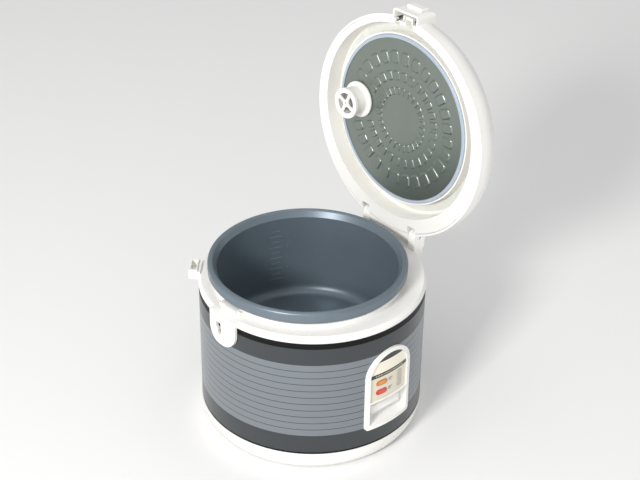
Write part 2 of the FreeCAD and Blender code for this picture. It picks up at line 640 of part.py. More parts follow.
def cook_key():
    """White key that the user presses, clipped on the lever's end."""
    half = KEY_W / 2.0
    bar = Part.Face(Part.makePolygon([
        V(-half, KEY_Y + 2.5, KEY_Z), V(-half, KEY_Y, KEY_Z + 1.5), V(-half, KEY_Y + 1.5, KEY_Z + KEY_H),
        V(-half, KEY_Y + 8.5, KEY_Z + KEY_H), V(-half, KEY_Y + 8.5, KEY_Z),
        V(-half, KEY_Y + 2.5, KEY_Z)])).extrude(V(KEY_W, 0, 0))
    neck = box(POT_X - 9.0, POT_X + 9.0, KEY_Y + 8.0, KEY_Y + 14.0, KEY_Z + 1.5, KEY_Z + KEY_H - 1.5)
    return join([bar, neck])


def lever_pin():
    """Pin through the bracket cheeks and the lever sleeve."""
    reach = BRACKET_HALF + 3.0
    return rod(LEVER_PIN_R, V(POT_X - reach, LEVER_PIVOT_Y, LEVER_Z), V(POT_X + reach, LEVER_PIVOT_Y, LEVER_Z))


def lever_bracket():
    """Channel on the base floor whose cheeks hold the lever pin."""
    foot = box(POT_X - BRACKET_HALF - 1.5, POT_X + BRACKET_HALF + 1.5, -95.0, -23.0, FLOOR_TOP, FLOOR_TOP + 1.5)
    cheeks = []
    for side in (-1.0, 1.0):
        x0, x1 = sorted((POT_X + side * BRACKET_HALF, POT_X + side * (BRACKET_HALF + 1.5)))
        cheeks.append(box(x0, x1, LEVER_PIVOT_Y - 14.0, LEVER_PIVOT_Y + 26.0, FLOOR_TOP, LEVER_Z + 7.0))
    body = join([foot] + cheeks)
    holes = [disc(1.6, FLOOR_TOP - 1.0, FLOOR_TOP + 3.0, x, y) for x, y in BRACKET_SCREWS]
    holes.append(rod(LEVER_PIN_R, V(POT_X - 30, LEVER_PIVOT_Y, LEVER_Z), V(POT_X + 30, LEVER_PIVOT_Y, LEVER_Z)))
    return body.cut(holes)


def bracket_screws():
    """Two screws from under the base into the lever bracket."""
    return Part.makeCompound([screw(x, y, FLOOR_TOP + 3.7, FOOT_H + 0.4, 1.6, 3.0, 2.2)
                              for x, y in BRACKET_SCREWS])


SWITCH_Y = LEVER_PIVOT_Y + 17.0


def micro_switch():
    """Snap switch between the bracket cheeks, under the lever."""
    body = box(POT_X - BRACKET_HALF, POT_X + BRACKET_HALF, SWITCH_Y - 5.0, SWITCH_Y + 7.0,
               LEVER_Z - 19.0, LEVER_Z - 6.0)
    tabs = [box(POT_X + x - 0.4, POT_X + x + 0.4, SWITCH_Y - 1.5, SWITCH_Y + 3.0, LEVER_Z - 26.0, LEVER_Z - 18.5)
            for x in (-6.0, 0.0, 6.0)]
    return join([body] + tabs).cut(disc(1.6, LEVER_Z - 11.0, LEVER_Z, POT_X, SWITCH_Y))


def switch_plunger():
    """Plunger that follows the lever."""
    return disc(1.55, LEVER_Z - 10.0, LEVER_Z - 1.1, POT_X, SWITCH_Y)


# ---- control panel ---------------------------------------------------------
def label_outline(gap, y0, y1):
    """Inside of the panel frame from the label's lower edge up."""
    half = PANEL_W / 2.0 - PANEL_FRAME - gap
    prism = arch_prism(half, PANEL_Z0 + PANEL_FRAME, PANEL_Z1 - PANEL_FRAME - gap, y0, y1)
    return prism.common(box(-half - 1, half + 1, y0 - 1, y1 + 1, LABEL_Z0 + gap, PANEL_Z1))


def control_bezel():
    """White arched frame with a seat for the label and a well for the key."""
    half = PANEL_W / 2.0
    inner = half - PANEL_FRAME
    face = BODY_R + PANEL_PROUD
    back = BODY_R - PANEL_DEPTH
    body = arch_prism(half, PANEL_Z0, PANEL_Z1, -face - 5.0, -back + 15.0)
    body = body.common(tube(face, back, PANEL_Z0, PANEL_Z1))
    edge = arch_prism(half, PANEL_Z0, PANEL_Z1, -face - 5.0, -back + 15.0)
    passing = arch_prism(half - 2.7, PANEL_Z0 + 2.7, PANEL_Z1 - 2.7, -face - 5.0, -back + 15.0)
    hidden = edge.cut(passing).common(tube(BODY_R + 0.05, back - 1.0, PANEL_Z0, PANEL_Z1))
    body = body.cut(hidden)
    seat = label_outline(0.0, -face - 5.0, -BODY_R + 25.0).common(tube(face + 5.0, BODY_R + 0.2, 0, 300))
    hollow = label_outline(2.5, -BODY_R, -back + 25.0).common(tube(BODY_R - 2.2, back - 30.0, 0, 300))
    floor_z = PANEL_Z0 + PANEL_FRAME
    wall_y = -back - 2.4
    well = Part.Face(Part.makePolygon([
        V(-inner, -face - 3.0, LABEL_Z0 - 1.0), V(-inner, -BODY_R - 0.2, LABEL_Z0 - 1.6),
        V(-inner, wall_y, KEY_Z + KEY_H + 3.0), V(-inner, wall_y, floor_z + 4.0),
        V(-inner, -BODY_R - 0.5, floor_z), V(-inner, -face - 3.0, floor_z),
        V(-inner, -face - 3.0, LABEL_Z0 - 1.0)])).extrude(V(2.0 * inner, 0, 0))
    slot_half = KEY_W / 2.0 + 0.8
    slot_z1 = KEY_Z + KEY_H + 0.9
    slot = box(-slot_half, slot_half, wall_y - 1.0, -back + 25.0, slot_z1 - KEY_SLOT_H, slot_z1)
    lamps = [capsule_prism(LAMP_X, z, LAMP_W + 0.2, LAMP_H + 0.2, -face - 2.0, -back) for z in LAMP_ZS]
    posts = [rod(3.0, V(x, -BODY_R + 5.0, z), V(x, -BODY_R + 3.0, z)) for x, z in BEZEL_SCREWS]
    return join([body.cut([seat, hollow, well, slot])] + posts).cut(lamps)


BEZEL_SCREWS = [(22.0, 130.0), (22.0, 100.0)]


def control_label():
    """Thin printed plate in the frame, with windows for the lamps."""
    sheet = label_outline(0.15, -BODY_R - 10.0, -BODY_R + 25.0)
    sheet = sheet.common(tube(BODY_R + 0.2 + LABEL_T, BODY_R + 0.2, 0, 300))
    lamps = [capsule_prism(LAMP_X, z, LAMP_W + 0.2, LAMP_H + 0.2, -BODY_R - 10.0, -BODY_R + 10.0) for z in LAMP_ZS]
    return sheet.cut(lamps)


def lamp_lens(z):
    """Coloured window of one lamp."""
    bar = capsule_prism(LAMP_X, z, LAMP_W, LAMP_H, -BODY_R - 10.0, -BODY_R + 10.0)
    return bar.common(tube(BODY_R + 1.4, BODY_R - 4.0, 0, 300))


def lamp_bulbs():
    """Two neon lamps behind the windows."""
    return Part.makeCompound([rod(2.4, V(LAMP_X - 6.5, -BODY_R + 8.0, z), V(LAMP_X + 6.5, -BODY_R + 8.0, z))
                              for z in LAMP_ZS])


def lamp_board():
    """Small board that carries the lamps."""
    z0 = LAMP_ZS[1] - 7.0
    z1 = LAMP_ZS[0] + 7.0
    y = -BODY_R + 10.6
    return box(LAMP_X - 11.0, 16.0, y, y + 1.6, z0, z1)


# ---- appliance inlet -------------------------------------------------------
def inlet_socket():
    """Recessed socket for the detachable lead, on the back."""
    width, height, depth = INLET_CAVITY
    flange = box(-INLET_W / 2.0, INLET_W / 2.0, BODY_R - 6.0, BODY_R + 2.6,
                 INLET_Z - INLET_H / 2.0, INLET_Z + INLET_H / 2.0)
    flange = flange.cut(disc(BODY_R + 0.05, 0, 200))
    flange = soft_edges(flange, 2.5, lambda b: b.YLength > 2.0 and b.XLength < 0.2 and b.ZLength < 0.2)
    body = box(-width / 2.0 - 2.2, width / 2.0 + 2.2, BODY_R - depth - 1.5, BODY_R + 2.4,
               INLET_Z - height / 2.0 - 2.2, INLET_Z + height / 2.0 + 2.2)
    cavity = box(-width / 2.0, width / 2.0, BODY_R + 2.6 - depth, BODY_R + 5.0,
                 INLET_Z - height / 2.0, INLET_Z + height / 2.0)
    pins = [rod(INLET_PIN_R, V(x, BODY_R - depth - 10.0, INLET_Z), V(x, BODY_R, INLET_Z)) for x in INLET_PINS]
    screws = [rod(1.6, V(x, BODY_R - 10.0, INLET_Z), V(x, BODY_R + 5.0, INLET_Z)) for x in INLET_SCREW_X]
    return join([flange, body]).cut([cavity] + pins + screws)


INLET_PINS = (-7.0, 0.0, 7.0)


def inlet_pins():
    """Three round pins that run through the back of the socket."""
    depth = INLET_CAVITY[2]
    pins = []
    for x in INLET_PINS:
        pins.append(rod(INLET_PIN_R, V(x, BODY_R - depth - 8.0, INLET_Z), V(x, BODY_R - 2.5, INLET_Z)))
    return Part.makeCompound(pins)


def inlet_screws():
    """Two screws through the socket flange."""
    screws = []
    for x in INLET_SCREW_X:
        head = rod(2.9, V(x, BODY_R + 2.6, INLET_Z), V(x, BODY_R + 4.2, INLET_Z))
        shank = rod(1.6, V(x, BODY_R - 8.0, INLET_Z), V(x, BODY_R + 2.6, INLET_Z))
        slot = box(x - 2.0, x + 2.0, BODY_R + 3.4, BODY_R + 5.0, INLET_Z - 0.4, INLET_Z + 0.4)
        screws.append(head.fuse(shank).cut(slot))
    return Part.makeCompound(screws)


def terminal_block():
    """Ceramic connector block on the base floor."""
    block = box(-30.0, 30.0, 56.0, 68.0, FLOOR_TOP, FLOOR_TOP + 14.0)
    ways = [rod(2.2, V(x, 50.0, FLOOR_TOP + 8.0), V(x, 75.0, FLOOR_TOP + 8.0)) for x in (-15.0, -5.0, 5.0, 15.0)]
    wells = [disc(2.0, FLOOR_TOP + 8.0, FLOOR_TOP + 20.0, x, 62.0) for x in (-15.0, -5.0, 5.0, 15.0)]
    mounts = [disc(1.6, 0.0, FLOOR_TOP + 20.0, x, y) for x, y in INLET_SCREW_BASE]
    return block.cut(ways + wells + mounts)


def wiring():
    """Leads from the inlet to the block and on to the element."""
    z = FLOOR_TOP + 8.0
    back = BODY_R - INLET_CAVITY[2] - 8.0
    runs = []
    for x_pin, x_way in zip(INLET_PINS, (-15.0, -5.0, 5.0)):
        runs.append(lead([V(x_pin, back - 0.3, INLET_Z), V(x_pin, back - 14.0, INLET_Z),
                          V(x_way, 86.0, z), V(x_way, 68.5, z)], 1.3, 6.0))
    for (x, y), x_way in zip(TERMINALS, (-15.0, 5.0)):
        runs.append(lead([V(x, y - 2.5, CAN_Z0 - 15.0), V(x, y - 2.5, CAN_Z0 - 28.0),
                          V(x_way, 40.0, z), V(x_way, 55.5, z)], 1.3, 6.0))
    return Part.makeCompound(runs)


# ---- inner pot -------------------------------------------------------------
def inner_pot():
    """Drawn pot with a rounded bottom corner, a flared rim and a turned-down edge."""
    inside = POT_R - POT_WALL
    floor = POT_FLOOR_Z + POT_WALL
    deep = POT_CORNER - POT_WALL
    top = FLANGE_TOP
    hem = top - FLANGE_HEM
    bend = 3.6
    tight = bend - POT_WALL
    crest = (FLANGE_R - bend, top - bend)
    reach = math.hypot(crest[0] - inside, FLARE_H - bend)
    slant = math.acos(bend / reach) - math.atan2(FLARE_H - bend, crest[0] - inside)
    across = math.cos(slant)
    rise = math.sin(slant)
    flare_in = (crest[0] - bend * across, crest[1] + bend * rise)
    flare_out = (crest[0] - tight * across, crest[1] + tight * rise)
    turn_z = top - FLARE_H - POT_WALL * rise + POT_WALL * (1.0 - across) / math.tan(slant)
    return turned([
        (0, POT_FLOOR_Z), (POT_R - POT_CORNER, POT_FLOOR_Z),
        (POT_R, POT_FLOOR_Z + POT_CORNER,
         corner_arc(POT_CORNER, (POT_R - POT_CORNER, POT_FLOOR_Z), (POT_R, POT_FLOOR_Z + POT_CORNER),
                    (POT_R - POT_CORNER, POT_FLOOR_Z + POT_CORNER))),
        (POT_R, turn_z), flare_out,
        (FLANGE_R - POT_WALL, crest[1], corner_arc(tight, flare_out, (FLANGE_R - POT_WALL, crest[1]), crest)),
        (FLANGE_R - POT_WALL, hem), (FLANGE_R, hem), (FLANGE_R, crest[1]),
        (flare_in[0], flare_in[1], corner_arc(bend, (FLANGE_R, crest[1]), flare_in, crest)),
        (inside, top - FLARE_H), (inside, floor + deep),
        (inside - deep, floor,
         corner_arc(deep, (inside, floor + deep), (inside - deep, floor), (inside - deep, floor + deep))),
        (0, floor)], POT_X)


# ---- lid -------------------------------------------------------------------
def dome(inset):
    """Solid under the lid's outer surface, moved inwards by inset."""
    r = LID_R - inset
    z0 = LID_Z0 if inset == 0 else LID_Z0 - 1.0
    skirt = LID_Z0 + LID_SKIRT
    crown = LID_Z0 + LID_DOME_RISE - inset
    shoulder = (LID_R - 14.0 - inset * 0.75, LID_Z0 + LID_SKIRT + 27.0 - inset * 0.75)
    bulge = (LID_R - 3.4 - inset * 0.97, LID_Z0 + LID_SKIRT + 14.5 - inset * 0.25)
    cap = (LID_R - 66.0 - inset * 0.2, LID_Z0 + LID_DOME_RISE - 3.6 - inset)
    return turned([(0, z0), (r, z0), (r, skirt), (shoulder[0], shoulder[1], bulge), (0, crown, cap)])


def housing(inset, z0):
    """Block of the latch housing on the lid's edge."""
    x_out = -LID_R - HOUSING_OUT + inset
    half = HOUSING_W / 2.0 - inset
    block = box(x_out, -LID_R + 22.0, -half, half, z0, LID_Z0 + HOUSING_H - inset)
    if inset == 0:
        block = soft_edges(block, 5.0, lambda b: b.XMax < -LID_R and (b.ZMin > LID_Z0 + HOUSING_H - 1.0
                                                                     or b.ZLength > HOUSING_H - 1.0))
    return block


HOOK_X = -LID_R + 3.5
HOOK_Z = LEDGE_Z + HOOK_PIVOT_RISE
BUTTON_Z = HOOK_Z + BUTTON_ARM
RIB_X = HOOK_X - 4.2      # outer edge of the ribs that hold the hook pin
LATCH_SLOT_HALF = CATCH_W / 2.0 + 0.7


def lid_cover():
    """White outer lid with latch housing, hinge knuckle and vent seat."""
    shell = join([dome(0.0), housing(0.0, LID_Z0)])
    inside = dome(LID_WALL)
    pocket = housing(LID_WALL, LID_Z0 - 1.0)
    shell = shell.cut([inside, pocket])
    half = KNUCKLE_W / 2.0
    knuckle = rod(KNUCKLE_R, V(PIVOT_X, -half, PIVOT_Z), V(PIVOT_X, half, PIVOT_Z))
    web = box(PIVOT_X - 14.5, PIVOT_X, -half, half, PIVOT_Z - KNUCKLE_R, PIVOT_Z + 12.0)
    heel = box(PIVOT_X - 14.5, PIVOT_X + 1.0, -half, half, PIVOT_Z, PIVOT_Z + 20.0).common(dome(0.0))
    seat = tube(VENT_CAP_R + 2.5, VENT_CAP_R + 0.4, LID_Z0 + 36.0, LID_Z0 + 60.0, VALVE_X, VALVE_Y).common(dome(0.0))
    seat_floor = tube(VENT_CAP_R + 1.0, 9.5, VENT_FLOOR - 2.0, VENT_FLOOR, VALVE_X, VALVE_Y)
    posts = []
    for x, y in LID_SCREWS:
        post = disc(4.0, LINER_TOP, LID_Z0 + 60.0, x, y).common(dome(LID_WALL - 0.5))
        posts.append(post.cut(disc(1.4, LINER_TOP - 1.0, LINER_TOP + 16.0, x, y)))
    ribs = []
    for side in (-1.0, 1.0):
        y0, y1 = sorted((side * (HOOK_W / 2.0 + 0.6), side * (HOOK_W / 2.0 + 2.6)))
        ribs.append(box(RIB_X, HOOK_X + 3.2, y0, y1, HOOK_Z - 4.5, LID_Z0 + HOUSING_H - 1.0))
    ribs.append(box(RIB_X, RIB_X + 1.2, -HOOK_W / 2.0 - 1.0, HOOK_W / 2.0 + 1.0, HOOK_Z + 4.5, HOOK_Z + 11.0))
    well = disc(VENT_CAP_R + 0.4, VENT_FLOOR, LID_Z0 + 60.0, VALVE_X, VALVE_Y)
    shell = shell.cut(disc(VENT_CAP_R + 0.4, LID_Z0 + 30.0, LID_Z0 + 60.0, VALVE_X, VALVE_Y))
    cover = join([shell, knuckle, web, heel, seat, seat_floor] + posts + ribs)
    half_gap = half + EAR_W + FIT_GAP + 0.9
    notches = []
    for side in (-1.0, 1.0):
        y0, y1 = sorted((side * (half + 0.01), side * half_gap))
        notches.append(box(PIVOT_X - 16.0, PIVOT_X + 20.0, y0, y1, LEDGE_Z, PIVOT_Z + EAR_R + 1.8))
    window = box(-LID_R - HOUSING_OUT - 5.0, -LID_R - 2.0, -BUTTON_W / 2.0 - 0.3, BUTTON_W / 2.0 + 0.3,
                 BUTTON_Z - BUTTON_H / 2.0 - 0.3, BUTTON_Z + BUTTON_H / 2.0 + 0.3)
    bores = [rod(PIN_R + RUN_GAP, V(PIVOT_X, -half - 1, PIVOT_Z), V(PIVOT_X, half + 1, PIVOT_Z)),
             rod(7.2, V(PIVOT_X, -14.5, PIVOT_Z), V(PIVOT_X, 14.5, PIVOT_Z)),
             rod(HOOK_PIN_R, V(HOOK_X, -12, HOOK_Z), V(HOOK_X, 12, HOOK_Z))]
    return carve(cover, notches + [window, well] + bores)


VENT_FLOOR = LID_Z0 + 39.0
LID_SCREWS = [(POT_X + 60.0 * math.cos(math.radians(a)), 60.0 * math.sin(math.radians(a)))
              for a in (30.0, 150.0, 270.0)]


def lid_liner():
    """White inner panel: rim, channel over the pot flange and plate seat."""
    rim_r = LID_R - LID_WALL - 0.2
    rim = turned([
        (90.0, RIM_Z), (rim_r - 2.0, RIM_Z),
        (rim_r, RIM_Z + 2.0, corner_arc(2.0, (rim_r - 2.0, RIM_Z), (rim_r, RIM_Z + 2.0), (rim_r - 2.0, RIM_Z + 2.0))),
        (rim_r, RIM_Z + 6.0), (rim_r - 2.0, RIM_Z + 6.0), (rim_r - 2.0, RIM_Z + 2.5), (90.0, RIM_Z + 2.5)])
    rim = rim.cut(disc(CHANNEL_R, RIM_Z - 5.0, RIM_Z + 10.0, CHANNEL_X))
    seat_r = INNER_PLATE_R - 1.5 + GASKET_W + FIT_GAP
    seat = turned([
        (seat_r - 4.0, CHANNEL_Z + 1.0), (seat_r - 4.0, CHANNEL_Z), (seat_r, CHANNEL_Z - 1.0),
        (seat_r, INNER_Z + 1.0), (seat_r + 2.0, INNER_Z + 1.0), (seat_r + 2.0, CHANNEL_Z + 1.0)], POT_X)
    panel = turned([
        (0, CHANNEL_Z), (CHANNEL_R - 1.5, CHANNEL_Z),
        (CHANNEL_R, CHANNEL_Z - 1.5, corner_arc(1.5, (CHANNEL_R - 1.5, CHANNEL_Z), (CHANNEL_R, CHANNEL_Z - 1.5),
                                                (CHANNEL_R - 1.5, CHANNEL_Z - 1.5))),
        (CHANNEL_R, RIM_Z + 1.5),
        (CHANNEL_R + 1.5, RIM_Z, corner_arc(1.5, (CHANNEL_R, RIM_Z + 1.5), (CHANNEL_R + 1.5, RIM_Z),
                                            (CHANNEL_R + 1.5, RIM_Z + 1.5))),
        (CHANNEL_R + 2.2, RIM_Z), (CHANNEL_R + 2.2, LINER_TOP), (0, LINER_TOP)], CHANNEL_X)
    body = join([rim, panel, seat])
    half = KNUCKLE_W / 2.0
    hinge_gap = half + EAR_W + FIT_GAP + 0.9
    cuts = [box(PIVOT_X - 16.0, PIVOT_X + 20.0, -hinge_gap, -half - 0.01, LEDGE_Z, PIVOT_Z + 20.0),
            box(PIVOT_X - 16.0, PIVOT_X + 20.0, half + 0.01, hinge_gap, LEDGE_Z, PIVOT_Z + 20.0),
            box(PIVOT_X - 14.7, PIVOT_X + 20.0, -half - 0.2, half + 0.2, PIVOT_Z - KNUCKLE_R - 0.2, PIVOT_Z + 20.0),
            box(-LID_R, POT_X - LIP_IN, -LATCH_SLOT_HALF, LATCH_SLOT_HALF, RIM_Z - 1.0, LEDGE_Z + CATCH_H + 1.5),
            box(-LID_R, HOOK_X + 3.4, -LATCH_SLOT_HALF, LATCH_SLOT_HALF, RIM_Z - 1.0, LINER_TOP + 2.0),
            disc(VALVE_DRUM_R + 0.3, CHANNEL_Z - 20.0, LINER_TOP + 5.0, VALVE_X, VALVE_Y)]
    hook_half = HOOK_W / 2.0 + 0.8
    cuts.append(box(-LID_R, HOOK_X + 3.4 + BUTTON_TRAVEL, -hook_half, hook_half, LEDGE_Z, LINER_TOP + 2.0))
    cuts += [disc(1.7, CHANNEL_Z - 1.0, LINER_TOP + 1.0, x, y) for x, y in LID_SCREWS]
    return carve(body, cuts)


def lid_screws():
    """Three screws that hold the liner to the cover, behind the plate."""
    return Part.makeCompound([screw(x, y, CHANNEL_Z - 2.2, LINER_TOP + 12.0, 1.4, 3.0, 2.2)
                              for x, y in LID_SCREWS])


def inner_plate():
    """Pressed aluminium plate that closes the pot, with its valve hole."""
    plate = disc(INNER_PLATE_R, INNER_Z, INNER_Z + INNER_PLATE_T, POT_X)
    return plate.cut(disc(VALVE_DRUM_R + 0.3, INNER_Z - 1.0, INNER_Z + 3.0, VALVE_X, VALVE_Y))


def plate_gasket():
    """Silicone ring that grips the plate's edge and sits in the liner."""
    inner = INNER_PLATE_R - 1.5
    ring = turned([
        (inner, INNER_Z - 1.0), (inner + GASKET_W - 1.2, INNER_Z - 1.4), (inner + GASKET_W, INNER_Z - 0.2),
        (inner + GASKET_W, CHANNEL_Z - 2.2), (inner, CHANNEL_Z - 2.2)], POT_X)
    return ring.cut(disc(INNER_PLATE_R, INNER_Z, INNER_Z + INNER_PLATE_T, POT_X))


def pot_seal():
    """Silicone ring in the channel that meets the pot flange."""
    inner = INNER_PLATE_R - 1.5 + GASKET_W + FIT_GAP + 2.3
    z0 = FLANGE_TOP + 0.3
    return turned([
        (inner, CHANNEL_Z), (inner, CHANNEL_Z - 0.6), (inner + 4.0, z0), (CHANNEL_R - 3.4, z0),
        (CHANNEL_R - 3.2, CHANNEL_Z)], POT_X)


def steam_valve_body():
    """Drum of the steam valve, clipped through plate and liner."""
    z0 = INNER_Z - VALVE_DROP + VALVE_CAP_T
    drum = tube(VALVE_DRUM_R, VALVE_DRUM_R - 2.0, z0, LINER_TOP + 1.5, VALVE_X, VALVE_Y)
    flange = tube(VALVE_FLANGE_R, VALVE_DRUM_R - 1.0, INNER_Z - 4.0, INNER_Z - 0.3, VALVE_X, VALVE_Y)
    flange = soft_edges(flange, 1.4, lambda b: b.XLength > 2 * VALVE_FLANGE_R - 0.5)
    roof = tube(VALVE_DRUM_R, 8.0, LINER_TOP - 0.5, LINER_TOP + 1.5, VALVE_X, VALVE_Y)
    chimney = tube(9.5, 8.0, LINER_TOP, VENT_FLOOR - 2.5, VALVE_X, VALVE_Y)
    clip = tube(VALVE_DRUM_R + 1.5, VALVE_DRUM_R - 1.0, LINER_TOP, LINER_TOP + 1.5, VALVE_X, VALVE_Y)
    return join([drum, flange, roof, chimney, clip])


def steam_valve_cap():
    """Pull-off cap of the valve: rim, four spokes and a hub."""
    z0 = INNER_Z - VALVE_DROP
    cap = tube(VALVE_CAP_R, VALVE_DRUM_R - 2.5, z0, z0 + VALVE_CAP_T - 0.2, VALVE_X, VALVE_Y)
    face = disc(VALVE_DRUM_R - 2.0, z0 + 0.3, z0 + 2.0, VALVE_X, VALVE_Y)
    window = tube(12.6, 4.6, z0 - 1.0, z0 + 5.0, VALVE_X, VALVE_Y)
    spokes = []
    for turn in (25.0, 115.0):
        bar = box(VALVE_X - 16.0, VALVE_X + 16.0, VALVE_Y - 2.0, VALVE_Y + 2.0, z0 - 2.0, z0 + 6.0)
        bar.rotate(V(VALVE_X, VALVE_Y, 0), V(0, 0, 1), turn)
        spokes.append(bar)
    face = face.cut(window.cut(spokes))
    face = face.cut(disc(1.4, z0 - 1.0, z0 + 5.0, VALVE_X, VALVE_Y))
    stub = tube(VALVE_DRUM_R - 2.0 - FIT_GAP, VALVE_DRUM_R - 3.6, z0 + 1.0, z0 + VALVE_CAP_T + 5.0, VALVE_X, VALVE_Y)
    return join([cap, face, stub])


def steam_vent_cap():
    """Lift-off vent cap in the top of the lid."""
    z0 = VENT_FLOOR + 0.2
    top = z0 + 7.0
    cap = turned([
        (0, z0), (VENT_CAP_R, z0), (VENT_CAP_R, top - 2.2),
        (VENT_CAP_R - 2.2, top, corner_arc(2.2, (VENT_CAP_R, top - 2.2), (VENT_CAP_R - 2.2, top),
                                           (VENT_CAP_R - 2.2, top - 2.2))),
        (0, top + 0.8, (VENT_CAP_R / 2.0, top + 0.6))], VALVE_X, VALVE_Y)
    hollow = disc(VENT_CAP_R - 2.0, z0 - 1.0, top - 2.0, VALVE_X, VALVE_Y)
    stub = tube(7.6, 6.2, z0 - 6.0, top - 1.0, VALVE_X, VALVE_Y)
    slots = []
    for offset in (-8.0, -4.0, 0.0, 4.0, 8.0):
        half = math.sqrt((VENT_CAP_R - 6.5) ** 2 - offset ** 2)
        slots.append(box(VALVE_X - half, VALVE_X + half, VALVE_Y + offset - 0.9, VALVE_Y + offset + 0.9, z0 - 8.0, top + 4.0))
    core = join([cap.cut(hollow), stub])
    return carve(core, [slot.cut(tube(8.1, 5.7, z0 - 9.0, top + 5.0, VALVE_X, VALVE_Y)) for slot in slots])


# ---- latch in the lid ------------------------------------------------------
BUTTON_FACE = -LID_R - HOUSING_OUT - 3.2
BUTTON_BACK = -LID_R - 4.2
SPRING_Z = BUTTON_Z - 1.8


def release_button():
    """Push button on the outside of the latch housing."""
    half_w = BUTTON_W / 2.0
    half_h = BUTTON_H / 2.0
    pad = box(BUTTON_FACE, BUTTON_BACK, -half_w, half_w, BUTTON_Z - half_h, BUTTON_Z + half_h)
    pad = soft_edges(pad, 1.6, lambda b: b.XMax < BUTTON_FACE + 0.1)
    stop = box(BUTTON_BACK - 1.1, BUTTON_BACK + 0.3, -half_w - 1.6, half_w + 1.6, BUTTON_Z - half_h - 1.4,
               BUTTON_Z + half_h + 1.4)
    stem = box(BUTTON_BACK - 0.5, HOOK_X - 2.0, -3.5, 3.5, BUTTON_Z + 1.4, BUTTON_Z + 4.4)
    pocket = rod(2.8, V(BUTTON_FACE + 2.0, 0, SPRING_Z), V(BUTTON_BACK + 1.0, 0, SPRING_Z))
    return join([pad, stop, stem]).cut(pocket)


def button_spring():
    """Spring that pushes the button out."""
    start = BUTTON_FACE + 2.4
    end = RIB_X - 0.4
    return coil(1.9, 0.5, end - start, 6, V(start, 0, SPRING_Z), V(1, 0, 0))


def latch_hook():
    """Rocking hook that grips the catch on the ring."""
    half = HOOK_W / 2.0
    hub = rod(3.4, V(HOOK_X, -half, HOOK_Z), V(HOOK_X, half, HOOK_Z))
    upper = box(HOOK_X - 1.6, HOOK_X + 1.4, -half, half, HOOK_Z, BUTTON_Z + 4.4)
    catch_out = POT_X - LIP_OUT - CATCH_REACH
    lower = box(catch_out - 2.6, catch_out - 0.6, -half, half, LEDGE_Z + 1.2, HOOK_Z - 1.0)
    barb = box(catch_out - 1.0, catch_out + NOSE - 0.6, -half, half, LEDGE_Z + 1.2, LEDGE_Z + CATCH_H - 4.4)
    joiner = box(catch_out - 2.6, HOOK_X + 1.4, -half, half, HOOK_Z - 4.0, HOOK_Z)
    window = rod(2.0, V(catch_out - 6.0, 0, HOOK_Z - 8.0), V(catch_out + 6.0, 0, HOOK_Z - 8.0))
    body = join([hub, upper, lower, barb, joiner]).cut(window)
    return body.cut(rod(HOOK_PIN_R + RUN_GAP, V(HOOK_X, -20, HOOK_Z), V(HOOK_X, 20, HOOK_Z)))


def hook_pin():
    """Pin of the hook, pressed into the housing ribs."""
    reach = HOOK_W / 2.0 + 3.4
    return rod(HOOK_PIN_R, V(HOOK_X, -reach, HOOK_Z), V(HOOK_X, reach, HOOK_Z))


def hinge_pin():
    """Steel pin through both ears and the lid knuckle."""
    reach = KNUCKLE_W / 2.0 + EAR_W
    return rod(PIN_R, V(PIVOT_X, -reach, PIVOT_Z), V(PIVOT_X, reach, PIVOT_Z))


def hinge_spring():
    """Torsion spring round the hinge pin that throws the lid open."""
    body = coil(4.6, 1.6, 24.0, 11, V(PIVOT_X, -12.0, PIVOT_Z), V(0, 1, 0))
    return body


def lid_opened(shape):
    """Copy of a shut-lid piece, turned open about the hinge pin."""
    copy = shape.copy()
    copy.rotate(V(PIVOT_X, 0, PIVOT_Z), V(0, 1, 0), LID_REST_ANGLE)
    return copy


BODY_NODES = {
    "base_tray": base_tray, "rubber_feet": rubber_feet, "tie_screws": tie_screws,
    "outer_shell": outer_shell, "lower_trim": lower_trim, "upper_trim": upper_trim,
    "top_ring": top_ring, "liner_can": liner_can, "hot_plate": hot_plate,
    "element_terminals": element_terminals, "hotplate_screws": hotplate_screws,
    "keep_warm_band": keep_warm_band, "thermal_fuse": thermal_fuse,
    "thermostat_bracket": thermostat_bracket, "sensor_screws": sensor_screws,
    "thermostat_cup": thermostat_cup, "thermostat_spring": thermostat_spring,
    "magnet_rod": magnet_rod, "cook_lever": cook_lever, "cook_key": cook_key,
    "lever_pin": lever_pin, "lever_bracket": lever_bracket, "bracket_screws": bracket_screws,
    "micro_switch": micro_switch, "switch_plunger": switch_plunger,
    "control_bezel": control_bezel, "control_label": control_label,
    "warm_lamp_lens": lambda: lamp_lens(LAMP_ZS[0]), "cook_lamp_lens": lambda: lamp_lens(LAMP_ZS[1]),
    "lamp_bulbs": lamp_bulbs, "lamp_board": lamp_board,
    "inlet_socket": inlet_socket, "inlet_pins": inlet_pins, "inlet_screws": inlet_screws,
    "terminal_block": terminal_block, "wiring": wiring, "inner_pot": inner_pot,
    "hinge_pin": hinge_pin, "hinge_spring": hinge_spring,
}

LID_NODES = {
    "lid_cover": lid_cover, "lid_liner": lid_liner, "lid_screws": lid_screws,
    "inner_plate": inner_plate, "plate_gasket": plate_gasket, "pot_seal": pot_seal,
    "steam_valve_body": steam_valve_body, "steam_valve_cap": steam_valve_cap,
    "steam_vent_cap": steam_vent_cap, "release_button": release_button,
    "button_spring": button_spring, "latch_hook": latch_hook, "hook_pin": hook_pin,
}


def main():
    """Write every node to parts/."""
    os.makedirs("parts", exist_ok=True)
    for name, make in BODY_NODES.items():
        make().exportStep("parts/%s.step" % name)
    for name, make in LID_NODES.items():
        lid_opened(make()).exportStep("parts/%s.step" % name)


main()
